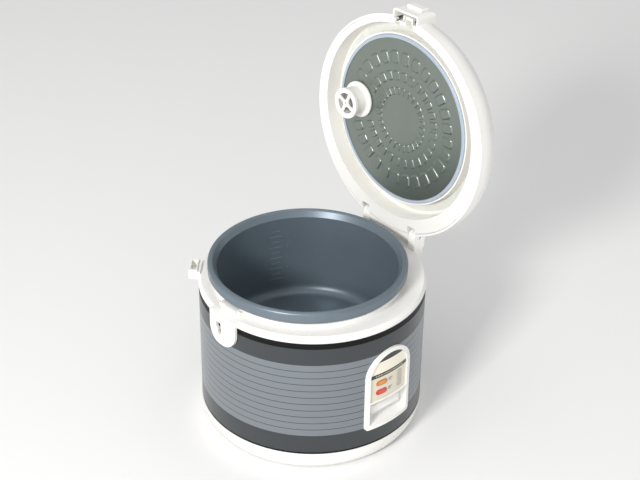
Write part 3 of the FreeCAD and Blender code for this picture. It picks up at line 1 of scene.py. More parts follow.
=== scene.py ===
"""Looks of a jar rice cooker whose hinged lid stands open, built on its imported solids.

All lengths are metres in the frame of the solids: +Z up, the floor at zero, the
control panel towards -Y, the lid hinge on +X and the lid latch on -X.
"""
import logging
import math
from dataclasses import dataclass, field
from enum import Enum
from typing import Iterable, Optional, Sequence, Union

import bpy
from mathutils import Matrix, Vector


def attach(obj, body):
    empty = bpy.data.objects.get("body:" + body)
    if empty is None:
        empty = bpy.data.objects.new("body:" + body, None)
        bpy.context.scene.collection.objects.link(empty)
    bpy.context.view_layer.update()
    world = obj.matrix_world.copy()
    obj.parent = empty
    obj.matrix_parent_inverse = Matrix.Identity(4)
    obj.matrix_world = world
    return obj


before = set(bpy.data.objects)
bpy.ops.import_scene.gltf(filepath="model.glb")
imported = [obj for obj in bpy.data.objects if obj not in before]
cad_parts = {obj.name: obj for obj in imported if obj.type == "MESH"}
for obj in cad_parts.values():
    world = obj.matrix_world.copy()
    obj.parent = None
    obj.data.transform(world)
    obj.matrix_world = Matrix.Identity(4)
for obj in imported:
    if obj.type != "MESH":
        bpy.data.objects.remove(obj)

log = logging.getLogger("rice_cooker")
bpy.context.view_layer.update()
MM = 0.001
Colour = tuple[float, float, float]
Number = Union[int, float]


# ---------------------------------------------------------------- shader maths
class Val:
    """A number socket of a shader tree that takes part in Python expressions."""

    def __init__(self, tree: "Shader", socket: bpy.types.NodeSocket) -> None:
        """Wrap a socket.

        Args:
            tree: The shader the socket belongs to.
            socket: An output socket that carries one number.
        """
        self.tree = tree
        self.socket = socket

    def _math(self, operation: str, *values: Union["Val", Number]) -> "Val":
        """Add a Math node.

        Args:
            operation: The node's operation.
            values: Its inputs in order.

        Returns:
            The node's result.
        """
        node = self.tree.node("ShaderNodeMath", {"operation": operation}, dict(enumerate(values)))
        return Val(self.tree, node.outputs[0])

    def __add__(self, other: Union["Val", Number]) -> "Val":
        """Sum."""
        return self._math("ADD", self, other)

    __radd__ = __add__

    def __sub__(self, other: Union["Val", Number]) -> "Val":
        """Difference."""
        return self._math("SUBTRACT", self, other)

    def __rsub__(self, other: Number) -> "Val":
        """Difference from a plain number."""
        return self._math("SUBTRACT", other, self)

    def __mul__(self, other: Union["Val", Number]) -> "Val":
        """Product."""
        return self._math("MULTIPLY", self, other)

    __rmul__ = __mul__

    def __truediv__(self, other: Union["Val", Number]) -> "Val":
        """Quotient."""
        return self._math("DIVIDE", self, other)

    def __rtruediv__(self, other: Number) -> "Val":
        """Quotient of a plain number."""
        return self._math("DIVIDE", other, self)

    def __abs__(self) -> "Val":
        """Absolute value."""
        return self._math("ABSOLUTE", self)

    def fract(self) -> "Val":
        """Fractional part."""
        return self._math("FRACT", self)

    def root(self) -> "Val":
        """Square root."""
        return self._math("SQRT", self)

    def most(self, other: Union["Val", Number]) -> "Val":
        """Larger of two values."""
        return self._math("MAXIMUM", self, other)

    def step(self, low: float, high: float, start: float = 0.0, end: float = 1.0) -> "Val":
        """Map a range smoothly.

        Args:
            low: Value that gives start.
            high: Value that gives end.
            start: Result at and below low.
            end: Result at and above high.

        Returns:
            The mapped value.
        """
        node = self.tree.node("ShaderNodeMapRange", {"interpolation_type": "SMOOTHSTEP"},
                              {"Value": self, "From Min": low, "From Max": high,
                               "To Min": start, "To Max": end})
        return Val(self.tree, node.outputs[0])

    def band(self, low: float, high: float, soft: float) -> "Val":
        """Mask that is one between two values.

        Args:
            low: Lower edge.
            high: Upper edge.
            soft: Width of each soft edge.

        Returns:
            The mask.
        """
        return self.step(low - soft, low + soft) * self.step(high - soft, high + soft, 1.0, 0.0)


class Shader:
    """Node tree of one material with one Principled shader."""

    def __init__(self, name: str) -> None:
        """Make the material.

        Args:
            name: The material's name.
        """
        self.material = bpy.data.materials.new(name)
        self.material.use_nodes = True
        self.tree = self.material.node_tree
        self.surface = self.tree.nodes["Principled BSDF"]
        self._place: Optional[tuple[Val, Val, Val]] = None
        self._object: Optional[bpy.types.NodeSocket] = None

    def node(self, kind: str, settings: Optional[dict] = None,
             inputs: Optional[dict] = None) -> bpy.types.Node:
        """Add any node.

        Args:
            kind: The node's type.
            settings: Its properties, set before its inputs; "stops" fills a ramp.
            inputs: Values, sockets or Val objects by input name or number.

        Returns:
            The new node.
        """
        node = self.tree.nodes.new(kind)
        for key, value in (settings or {}).items():
            if key == "stops":
                while len(node.color_ramp.elements) < len(value):
                    node.color_ramp.elements.new(1.0)
                for element, (place, colour) in zip(node.color_ramp.elements, value):
                    element.position = place
                    element.color = (*colour, 1.0)
            else:
                setattr(node, key, value)
        for key, value in (inputs or {}).items():
            self.feed(node.inputs[key], value)
        return node

    def feed(self, socket: bpy.types.NodeSocket, value: object) -> None:
        """Link or set one input socket.

        Args:
            socket: The input.
            value: A Val, an output socket, a number, a colour or a vector.
        """
        if isinstance(value, Val):
            self.tree.links.new(value.socket, socket)
        elif isinstance(value, bpy.types.NodeSocket):
            self.tree.links.new(value, socket)
        elif isinstance(value, tuple) and socket.type == "RGBA":
            socket.default_value = (*value, 1.0)
        else:
            socket.default_value = value

    def set(self, **values: object) -> None:
        """Feed inputs of the Principled shader, with _ for each space in a name."""
        for name, value in values.items():
            self.feed(self.surface.inputs[name.replace("_", " ")], value)

    @property
    def object_place(self) -> bpy.types.NodeSocket:
        """Object coordinates as a vector socket."""
        if self._object is None:
            self._object = self.node("ShaderNodeTexCoord").outputs["Object"]
        return self._object

    @property
    def place(self) -> tuple[Val, Val, Val]:
        """Object coordinates as three values."""
        if self._place is None:
            parts = self.node("ShaderNodeSeparateXYZ", None, {0: self.object_place})
            self._place = tuple(Val(self, output) for output in parts.outputs)
        return self._place

    def noise(self, scale: float, detail: float = 2.0, rough: float = 0.5,
              stretch: Colour = (1.0, 1.0, 1.0)) -> Val:
        """Noise over the object coordinates.

        Args:
            scale: Texture scale per metre.
            detail: Octaves.
            rough: Roughness of the octaves.
            stretch: Factor on each coordinate.

        Returns:
            The noise factor.
        """
        where = self.node("ShaderNodeVectorMath", {"operation": "MULTIPLY"},
                          {0: self.object_place, 1: stretch}).outputs[0]
        node = self.node("ShaderNodeTexNoise", None,
                         {"Vector": where, "Scale": scale, "Detail": detail, "Roughness": rough})
        return Val(self, node.outputs[0])

    def cells(self, scale: float) -> Val:
        """Distance to the nearest Voronoi point.

        Args:
            scale: Texture scale per metre.

        Returns:
            The distance.
        """
        node = self.node("ShaderNodeTexVoronoi", None, {"Vector": self.object_place, "Scale": scale})
        return Val(self, node.outputs[0])

    def mix(self, mask: Union[Val, float], first: object, second: object) -> bpy.types.NodeSocket:
        """Mix two colours.

        Args:
            mask: Zero gives the first and one the second.
            first: A colour or a colour socket.
            second: A colour or a colour socket.

        Returns:
            The mixed colour's socket.
        """
        node = self.node("ShaderNodeMix", {"data_type": "RGBA"}, {0: mask, 6: first, 7: second})
        return node.outputs[2]

    def bump(self, height: Val, strength: float, distance: float) -> None:
        """Feed a height to the surface normal.

        Args:
            height: The height field.
            strength: Strength of the bump.
            distance: Height in metres of one unit.
        """
        node = self.node("ShaderNodeBump", None,
                         {"Height": height, "Strength": strength, "Distance": distance})
        self.set(Normal=node.outputs[0])


def srgb(red: int, green: int, blue: int) -> Colour:
    """Linear colour from 8-bit display values.

    Args:
        red: Red from 0 to 255.
        green: Green from 0 to 255.
        blue: Blue from 0 to 255.

    Returns:
        The linear colour.
    """
    def linear(value: int) -> float:
        """One channel."""
        part = value / 255.0
        return part / 12.92 if part <= 0.04045 else ((part + 0.055) / 1.055) ** 2.4
    return (linear(red), linear(green), linear(blue))


def shade(colour: Colour, factor: float) -> Colour:
    """Colour times a factor.

    Args:
        colour: A linear colour.
        factor: What to multiply it by.

    Returns:
        The darker or lighter colour.
    """
    return (colour[0] * factor, colour[1] * factor, colour[2] * factor)


# -------------------------------------------------------------------- finishes
@dataclass(frozen=True)
class MouldedPlastic:
    """Injection-moulded plastic with a faint grain, flow marks and handling wear."""

    name: str
    colour: Colour
    roughness: float = 0.3
    grain: float = 0.05
    aged: float = 0.94
    coat: float = 0.0
    shine: float = 0.5

    def material(self) -> bpy.types.Material:
        """Build the material.

        Returns:
            The finished material.
        """
        tree = Shader(self.name)
        cloud = tree.noise(14.0, 3.0).step(0.35, 0.7)
        fine = tree.noise(260.0, 2.0)
        worn = (self.colour[0] * self.aged, self.colour[1] * self.aged * 0.995,
                self.colour[2] * self.aged * 0.975)
        tree.set(Base_Color=tree.mix(cloud * 0.8 + fine * 0.2, self.colour, worn),
                 Roughness=cloud * 0.06 + fine * 0.08 + (self.roughness - 0.07),
                 Coat_Weight=self.coat, Coat_Roughness=0.12, Specular_IOR_Level=self.shine)
        tree.bump(tree.noise(1900.0, 1.0), self.grain, 0.0001)
        return tree.material


@dataclass(frozen=True)
class PrintedShell:
    """Sheet printed with a dark band at each end and fine lines between, under clear coat."""

    name: str
    low: float
    stripes_low: float
    stripes_high: float
    high: float
    stripe_count: int
    line_half: float = 0.00042
    field_colour: Colour = srgb(124, 131, 137)
    band_colour: Colour = srgb(54, 60, 63)
    line_colour: Colour = srgb(52, 59, 66)

    def material(self) -> bpy.types.Material:
        """Build the material.

        Returns:
            The finished material.
        """
        tree = Shader(self.name)
        height = tree.place[2]
        pitch = (self.stripes_high - self.stripes_low) / self.stripe_count
        turn = ((height - self.stripes_low) / pitch + 0.5).fract() - 0.5
        line = (abs(turn) * pitch).step(self.line_half * 0.6, self.line_half * 1.4, 1.0, 0.0)
        printed = height.band(self.stripes_low, self.stripes_high, 0.00015)
        speck = tree.noise(900.0, 3.0, 0.7)
        cloud = tree.noise(9.0, 2.0)
        ink = tree.mix(speck * 0.5 + cloud * 0.35, self.field_colour, shade(self.field_colour, 0.86))
        dark = tree.mix(speck * 0.6, self.band_colour, shade(self.band_colour, 0.82))
        field = tree.mix(line, ink, self.line_colour)
        tree.set(Base_Color=tree.mix(printed, dark, field), Metallic=0.25,
                 Roughness=0.34 + speck * 0.08 - line * 0.04, Coat_Weight=0.35, Coat_Roughness=0.16)
        tree.bump(cloud * 0.6 + speck * 0.05, 0.05, 0.0006)
        return tree.material


@dataclass(frozen=True)
class CookingCoat:
    """Blue-grey cooking coat with fine metallic flecks and slight wear rings."""

    name: str
    centre_x: float
    colour: Colour = srgb(116, 129, 139)
    fleck: Colour = srgb(170, 181, 190)

    def material(self) -> bpy.types.Material:
        """Build the material.

        Returns:
            The finished material.
        """
        tree = Shader(self.name)
        x, y, _ = tree.place
        shifted = x - self.centre_x
        radius = (shifted * shifted + y * y).root()
        rings = (radius * 900.0).fract()
        fleck = tree.cells(2600.0).step(0.02, 0.16, 1.0, 0.0)
        cloud = tree.noise(22.0, 3.0)
        deep = tree.mix(cloud, self.colour, shade(self.colour, 0.78))
        tree.set(Base_Color=tree.mix(fleck * 0.45, deep, self.fleck), Metallic=0.35,
                 Roughness=0.34 + cloud * 0.07 + rings * 0.03)
        tree.bump(tree.noise(1500.0, 2.0) + rings * 0.15, 0.08, 0.00008)
        return tree.material


@dataclass(frozen=True)
class WorkedMetal:
    """Drawn, rolled or plated metal with a stretched grain and dull patches."""

    name: str
    colour: Colour
    roughness: float = 0.35
    metallic: float = 1.0
    stretch: Colour = (1.0, 1.0, 30.0)

    def material(self) -> bpy.types.Material:
        """Build the material.

        Returns:
            The finished material.
        """
        tree = Shader(self.name)
        grain = tree.noise(240.0, 3.0, 0.6, self.stretch)
        dull = tree.noise(30.0, 3.0)
        tree.set(Base_Color=tree.mix(grain * 0.5 + dull * 0.4, self.colour, shade(self.colour, 0.72)),
                 Metallic=self.metallic, Roughness=grain * 0.12 + dull * 0.12 + (self.roughness - 0.1))
        tree.bump(grain, 0.08, 0.0002)
        return tree.material


@dataclass(frozen=True)
class SoftRubber:
    """Rubber or silicone with a dusty sheen."""

    name: str
    colour: Colour
    roughness: float = 0.6
    clear: float = 0.0

    def material(self) -> bpy.types.Material:
        """Build the material.

        Returns:
            The finished material.
        """
        tree = Shader(self.name)
        dust = tree.noise(60.0, 4.0).step(0.4, 0.7)
        tree.set(Base_Color=tree.mix(dust * 0.5, self.colour, shade(self.colour, 1.12)),
                 Roughness=dust * 0.12 + self.roughness, Subsurface_Weight=self.clear)
        tree.bump(tree.noise(900.0, 2.0), 0.1, 0.0001)
        return tree.material


@dataclass(frozen=True)
class LabelPrint:
    """Printed panel under a clear film: black crown and strip on a pale ground."""

    name: str
    crown: float
    strip_low: float
    strip_high: float
    pale: Colour = srgb(226, 219, 200)
    black: Colour = srgb(22, 21, 24)
    cream: Colour = srgb(246, 240, 222)

    def material(self) -> bpy.types.Material:
        """Build the material.

        Returns:
            The finished material.
        """
        tree = Shader(self.name)
        height = tree.place[2]
        soft = 0.00012
        strip = height.band(self.strip_low, self.strip_high, soft)
        title = height.band(self.strip_high, self.crown, soft)
        crown = height.step(self.crown - soft, self.crown + soft)
        speck = tree.noise(700.0, 2.0)
        ground = tree.mix(title, tree.mix(speck * 0.5, self.pale, shade(self.pale, 0.93)), self.cream)
        black = tree.mix(speck * 0.5, self.black, shade(self.black, 1.5))
        tree.set(Base_Color=tree.mix(strip.most(crown), ground, black),
                 Roughness=0.3 + speck * 0.08, Coat_Weight=0.5, Coat_Roughness=0.1)
        return tree.material


@dataclass(frozen=True)
class TintedLens:
    """Tinted lamp window with fine upright flutes and a painted glow that makes its middle paler."""

    name: str
    colour: Colour
    glow_colour: Colour
    centre: tuple[float, float]
    half: tuple[float, float]

    def material(self) -> bpy.types.Material:
        """Build the material.

        Returns:
            The finished material.
        """
        tree = Shader(self.name)
        x, _, z = tree.place
        off = (abs(x - self.centre[0]) / self.half[0]).most(abs(z - self.centre[1]) / self.half[1])
        # Painted glow: the tint is lightened towards the middle of the lens as if the lamp were lit, though
        # no light is given off.
        painted_glow = off.step(0.25, 1.0, 1.0, 0.0)
        flutes = abs((x * 1250.0).fract() - 0.5)
        tree.set(Base_Color=tree.mix(painted_glow * 0.6, self.colour, self.glow_colour), Roughness=0.12 + flutes * 0.1,
                 Coat_Weight=0.6, Coat_Roughness=0.05)
        tree.bump(flutes, 0.35, 0.0002)
        return tree.material


@dataclass(frozen=True)
class SatinPlate:
    """Satin anodised sheet with a faint turned grain about the plate's centre."""

    name: str
    centre: Vector
    colour: Colour = srgb(140, 149, 142)

    def material(self) -> bpy.types.Material:
        """Build the material.

        Returns:
            The finished material.
        """
        tree = Shader(self.name)
        offset = tree.node("ShaderNodeVectorMath", {"operation": "SUBTRACT"},
                           {0: tree.object_place, 1: tuple(self.centre)}).outputs[0]
        radius = Val(tree, tree.node("ShaderNodeVectorMath", {"operation": "LENGTH"},
                                     {0: offset}).outputs["Value"])
        grain = (radius * 1600.0).fract()
        haze = tree.noise(18.0, 4.0)
        fine = tree.noise(520.0, 2.0)
        tone = tree.mix(haze * 0.7 + fine * 0.2, self.colour, shade(self.colour, 0.8))
        tree.set(Base_Color=tone, Metallic=0.8, Roughness=0.3 + haze * 0.1 + grain * 0.03)
        tree.bump(fine + grain * 0.2, 0.06, 0.0001)
        return tree.material


@dataclass(frozen=True)
class Stage:
    """Matt studio floor."""

    name: str
    colour: Colour

    def material(self) -> bpy.types.Material:
        """Build the material.

        Returns:
            The finished material.
        """
        tree = Shader(self.name)
        cloud = tree.noise(1.5, 2.0)
        tree.set(Base_Color=tree.mix(cloud * 0.2, self.colour, shade(self.colour, 0.99)), Roughness=0.95)
        return tree.material


# ------------------------------------------------------------- geometry helpers
def skin_of(mesh: bpy.types.Mesh, angle: float = 35.0) -> None:
    """Smooth a mesh's faces and keep edges sharp above an angle.

    Args:
        mesh: The mesh.
        angle: Sharp-edge angle in degrees.
    """
    mesh.shade_smooth()
    mesh.set_sharp_from_angle(angle=math.radians(angle))


def mesh_object(name: str, points: Sequence[Sequence[float]], faces: Sequence[Sequence[int]],
                material: bpy.types.Material) -> bpy.types.Object:
    """Object at the origin from points and faces.

    Args:
        name: The object's name.
        points: Corner points in metres.
        faces: Point numbers of each face.
        material: Its finish.

    Returns:
        The linked object.
    """
    mesh = bpy.data.meshes.new(name)
    mesh.from_pydata([tuple(point) for point in points], [], [tuple(face) for face in faces])
    mesh.materials.append(material)
    mesh.update()
    skin_of(mesh)
    made = bpy.data.objects.new(name, mesh)
    bpy.context.scene.collection.objects.link(made)
    return made


def dress(material: bpy.types.Material, *nodes: str) -> None:
    """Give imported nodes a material.

    Args:
        material: The finish.
        nodes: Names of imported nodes.
    """
    for name in nodes:
        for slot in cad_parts[name].material_slots:
            slot.material = material
        log.info("dressed %s in %s", name, material.name)


def join_piece(piece: bpy.types.Object, body: str) -> None:
    """Register a piece with its body.

    Args:
        piece: The object.
        body: Body that it moves with.
    """
    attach(piece, body)
    log.info("%s rides on %s", piece.name, body)


class Field:
    """Geometry Nodes tree with named inputs that ends in one plain mesh."""

    crease = 28.0

    def __init__(self, name: str, material: bpy.types.Material) -> None:
        """Start a tree.

        Args:
            name: Name of the tree and of the object that it gives.
            material: Finish set on the result.
        """
        self.name = name
        self.material = material
        self.tree = bpy.data.node_groups.new(name, "GeometryNodeTree")
        self.tree.interface.new_socket(name="Geometry", in_out="OUTPUT",
                                       socket_type="NodeSocketGeometry")
        self.values: dict[str, object] = {}
        self.entry = self.tree.nodes.new("NodeGroupInput")
        self.exit = self.tree.nodes.new("NodeGroupOutput")

    def size(self, name: str, kind: str, value: object) -> bpy.types.NodeSocket:
        """Add a named input.

        Args:
            name: Input name.
            kind: "Float", "Int" or "Vector".
            value: Value given to the modifier.

        Returns:
            The input's socket inside the tree.
        """
        socket = self.tree.interface.new_socket(name=name, in_out="INPUT",
                                                socket_type="NodeSocket" + kind)
        self.values[socket.identifier] = value
        return self.entry.outputs[name]

    def node(self, kind: str, settings: Optional[dict] = None,
             inputs: Optional[dict] = None) -> bpy.types.Node:
        """Add a node.

        Args:
            kind: Node type.
            settings: Its properties.
            inputs: Values or sockets by input name or number.

        Returns:
            The new node.
        """
        node = self.tree.nodes.new(kind)
        for key, value in (settings or {}).items():
            setattr(node, key, value)
        for key, value in (inputs or {}).items():
            if isinstance(value, bpy.types.NodeSocket):
                self.tree.links.new(value, node.inputs[key])
            else:
                node.inputs[key].default_value = value
        return node

    def maths(self, operation: str, *values: object) -> bpy.types.NodeSocket:
        """Add a Math node.

        Args:
            operation: The operation.
            values: Its inputs in order.

        Returns:
            The result's socket.
        """
        return self.node("ShaderNodeMath", {"operation": operation},
                         dict(enumerate(values))).outputs[0]

    def vector(self, x: object = 0.0, y: object = 0.0, z: object = 0.0) -> bpy.types.NodeSocket:
        """Combine three values into a vector.

        Args:
            x: First part.
            y: Second part.
            z: Third part.

        Returns:
            The vector's socket.
        """
        return self.node("ShaderNodeCombineXYZ", None, {0: x, 1: y, 2: z}).outputs[0]

    def finish(self, geometry: bpy.types.NodeSocket, place: Matrix = Matrix.Identity(4)) -> bpy.types.Object:
        """Realise the tree as a plain object.

        Args:
            geometry: The tree's last geometry socket.
            place: Matrix applied to the mesh.

        Returns:
            The linked object, at the origin.
        """
        real = self.node("GeometryNodeRealizeInstances", None, {0: geometry})
        smooth = self.node("GeometryNodeSetShadeSmooth", None, {0: real.outputs[0]})
        final = self.node("GeometryNodeSetMaterial", None,
                          {"Geometry": smooth.outputs[0], "Material": self.material})
        self.tree.links.new(final.outputs[0], self.exit.inputs[0])
        seed = bpy.data.meshes.new(self.name + "_seed")
        made = bpy.data.objects.new(self.name, seed)
        bpy.context.scene.collection.objects.link(made)
        modifier = made.modifiers.new("build", "NODES")
        modifier.node_group = self.tree
        for identifier, value in self.values.items():
            modifier[identifier] = value
        graph = bpy.context.evaluated_depsgraph_get()
        plain = bpy.data.meshes.new_from_object(made.evaluated_get(graph))
        made.modifiers.remove(modifier)
        plain.transform(place)
        plain.name = self.name
        if not plain.materials:
            plain.materials.append(self.material)
        skin_of(plain, self.crease)
        made.data = plain
        return made


# ------------------------------------------------------------------ assemblies
class BodyName(Enum):
    """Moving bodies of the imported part."""

    COOKER = "cooker_body"
    LID = "lid"
    POT = "pot"


@dataclass
class Palette:
    """Every finish that more than one assembly shares."""

    white: bpy.types.Material = field(init=False)
    ivory: bpy.types.Material = field(init=False)
    steel: bpy.types.Material = field(init=False)
    black: bpy.types.Material = field(init=False)

    def __post_init__(self) -> None:
        """Build the shared materials."""
        self.white = MouldedPlastic("white_gloss_plastic", srgb(247, 246, 243), 0.26, coat=0.25).material()
        self.ivory = MouldedPlastic("ivory_satin_plastic", srgb(243, 242, 238), 0.36, 0.08).material()
        self.steel = WorkedMetal("zinc_plated_steel", srgb(186, 188, 184), 0.34).material()
        self.black = MouldedPlastic("black_satin_plastic", srgb(9, 8, 11), 0.48, shine=0.2).material()


@dataclass
class Housing:
    """Base, printed shell, bands, ring and feet."""

    palette: Palette
    shell_low: float = 30.0 * MM
    shell_high: float = 174.5 * MM
    stripes: tuple[float, float] = (53.5 * MM, 153.0 * MM)
    stripe_count: int = 11

    def build(self) -> None:
        """Dress the outside of the body."""
        printed = PrintedShell("printed_shell", self.shell_low, self.stripes[0], self.stripes[1],
                               self.shell_high, self.stripe_count)
        dress(printed.material(), "outer_shell")
        dress(self.palette.white, "base_tray", "top_ring")
        dress(self.palette.black, "lower_trim", "upper_trim")
        dress(SoftRubber("foot_rubber", srgb(196, 193, 186), 0.62).material(), "rubber_feet")
        dress(self.palette.steel, "tie_screws", "bracket_screws")


@dataclass
class Pot:
    """Lift-out pot with its embossed level marks and numbers."""

    centre_x: float = -7.3 * MM
    inner_radius: float = 105.9 * MM
    mark_angle: float = math.radians(70.0)
    mark_low: float = 121.0 * MM
    mark_count: int = 10
    mark_pitch: float = 7.6 * MM
    mark_long: float = 17.0 * MM
    mark_short: float = 11.0 * MM
    mark_height: float = 1.3 * MM
    mark_proud: float = 0.5 * MM
    number_size: float = 6.0 * MM
    number_drop: float = 2.0 * MM
    number_share: float = 0.85

    def build(self) -> None:
        """Dress the pot and emboss its scale."""
        coat = CookingCoat("cooking_coat", self.centre_x).material()
        dress(coat, "inner_pot")
        mark_metal = WorkedMetal("embossed_mark", srgb(134, 148, 158), 0.32, 0.4, (1.0, 1.0, 1.0)).material()
        join_piece(self.marks(mark_metal), BodyName.POT.value)
        join_piece(self.numbers(mark_metal), BodyName.POT.value)

    def wall_place(self, angle: float) -> Matrix:
        """Matrix that puts local Y on the wall's inward direction at an angle.

        Args:
            angle: Angle about the pot's axis in radians.

        Returns:
            The placing matrix.
        """
        turn = Matrix.Rotation(angle - math.radians(90.0), 4, "Z")
        return Matrix.Translation((self.centre_x, 0.0, 0.0)) @ turn

    def marks(self, material: bpy.types.Material) -> bpy.types.Object:
        """Long and short bars up the wall.

        Args:
            material: Their finish.

        Returns:
            The piece.
        """
        made = Field("pot_level_marks", material)
        count = made.size("Count", "Int", self.mark_count)
        pitch = made.size("Pitch", "Float", self.mark_pitch)
        low = made.size("Lowest", "Float", self.mark_low)
        radius = made.size("Wall Radius", "Float", self.inner_radius)
        long_bar = made.size("Long Bar", "Float", self.mark_long)
        short_bar = made.size("Short Bar", "Float", self.mark_short)
        height = made.size("Bar Height", "Float", self.mark_height)
        proud = made.size("Proud", "Float", self.mark_proud)
        line = made.node("GeometryNodeMeshLine", None,
                         {"Count": count, "Start Location": made.vector(0.0, radius, low),
                          "Offset": made.vector(0.0, 0.0, pitch)}).outputs[0]
        bar = made.node("GeometryNodeMeshCube", None,
                        {"Size": made.vector(1.0, made.maths("MULTIPLY", proud, 4.0), height),
                         "Vertices X": 7, "Vertices Y": 2, "Vertices Z": 3}).outputs[0]
        index = made.node("GeometryNodeInputIndex").outputs[0]
        odd = made.maths("MODULO", index, 2.0)
        length = made.maths("ADD", made.maths("MULTIPLY", odd, short_bar),
                            made.maths("MULTIPLY", made.maths("SUBTRACT", 1.0, odd), long_bar))
        bars = made.node("GeometryNodeInstanceOnPoints", None,
                         {"Points": line, "Instance": bar,
                          "Scale": made.vector(length, 1.0, 1.0)}).outputs[0]
        piece = made.finish(bars)
        self.wrap(piece.data, self.mark_proud)
        return piece

    def wrap(self, mesh: bpy.types.Mesh, sink: float) -> None:
        """Bend a flat piece on to the pot's inner wall.

        Args:
            mesh: Mesh whose X runs along the wall and whose Y is near the wall's radius.
            sink: How far it is moved into the wall.
        """
        place = self.wall_place(self.mark_angle)
        for vertex in mesh.vertices:
            reach = vertex.co.y + sink
            turn = -vertex.co.x / self.inner_radius
            flat = Vector((-reach * math.sin(turn), reach * math.cos(turn), vertex.co.z))
            vertex.co = place @ flat
        mesh.update()

    def numbers(self, material: bpy.types.Material) -> bpy.types.Object:
        """Plain numbers beside every second bar.

        Args:
            material: Their finish.

        Returns:
            The piece.
        """
        points: list[Vector] = []
        faces: list[list[int]] = []
        for step in range(0, self.mark_count, 2):
            text = bpy.data.curves.new("level_number", "FONT")
            text.body = str(step + 2)
            text.size = self.number_size
            text.align_x = "CENTER"
            text.extrude = self.mark_proud
            carrier = bpy.data.objects.new("level_number", text)
            bpy.context.scene.collection.objects.link(carrier)
            graph = bpy.context.evaluated_depsgraph_get()
            flat = bpy.data.meshes.new_from_object(carrier.evaluated_get(graph))
            start = len(points)
            level = self.mark_low + step * self.mark_pitch - self.number_drop
            beside = self.mark_long * self.number_share
            for vertex in flat.vertices:
                points.append(Vector((vertex.co.x + beside, self.inner_radius - vertex.co.z,
                                      vertex.co.y + level)))
            faces += [[corner + start for corner in face.vertices] for face in flat.polygons]
            bpy.data.objects.remove(carrier)
        piece = mesh_object("pot_level_numbers", points, faces, material)
        self.wrap(piece.data, 0.0)
        return piece


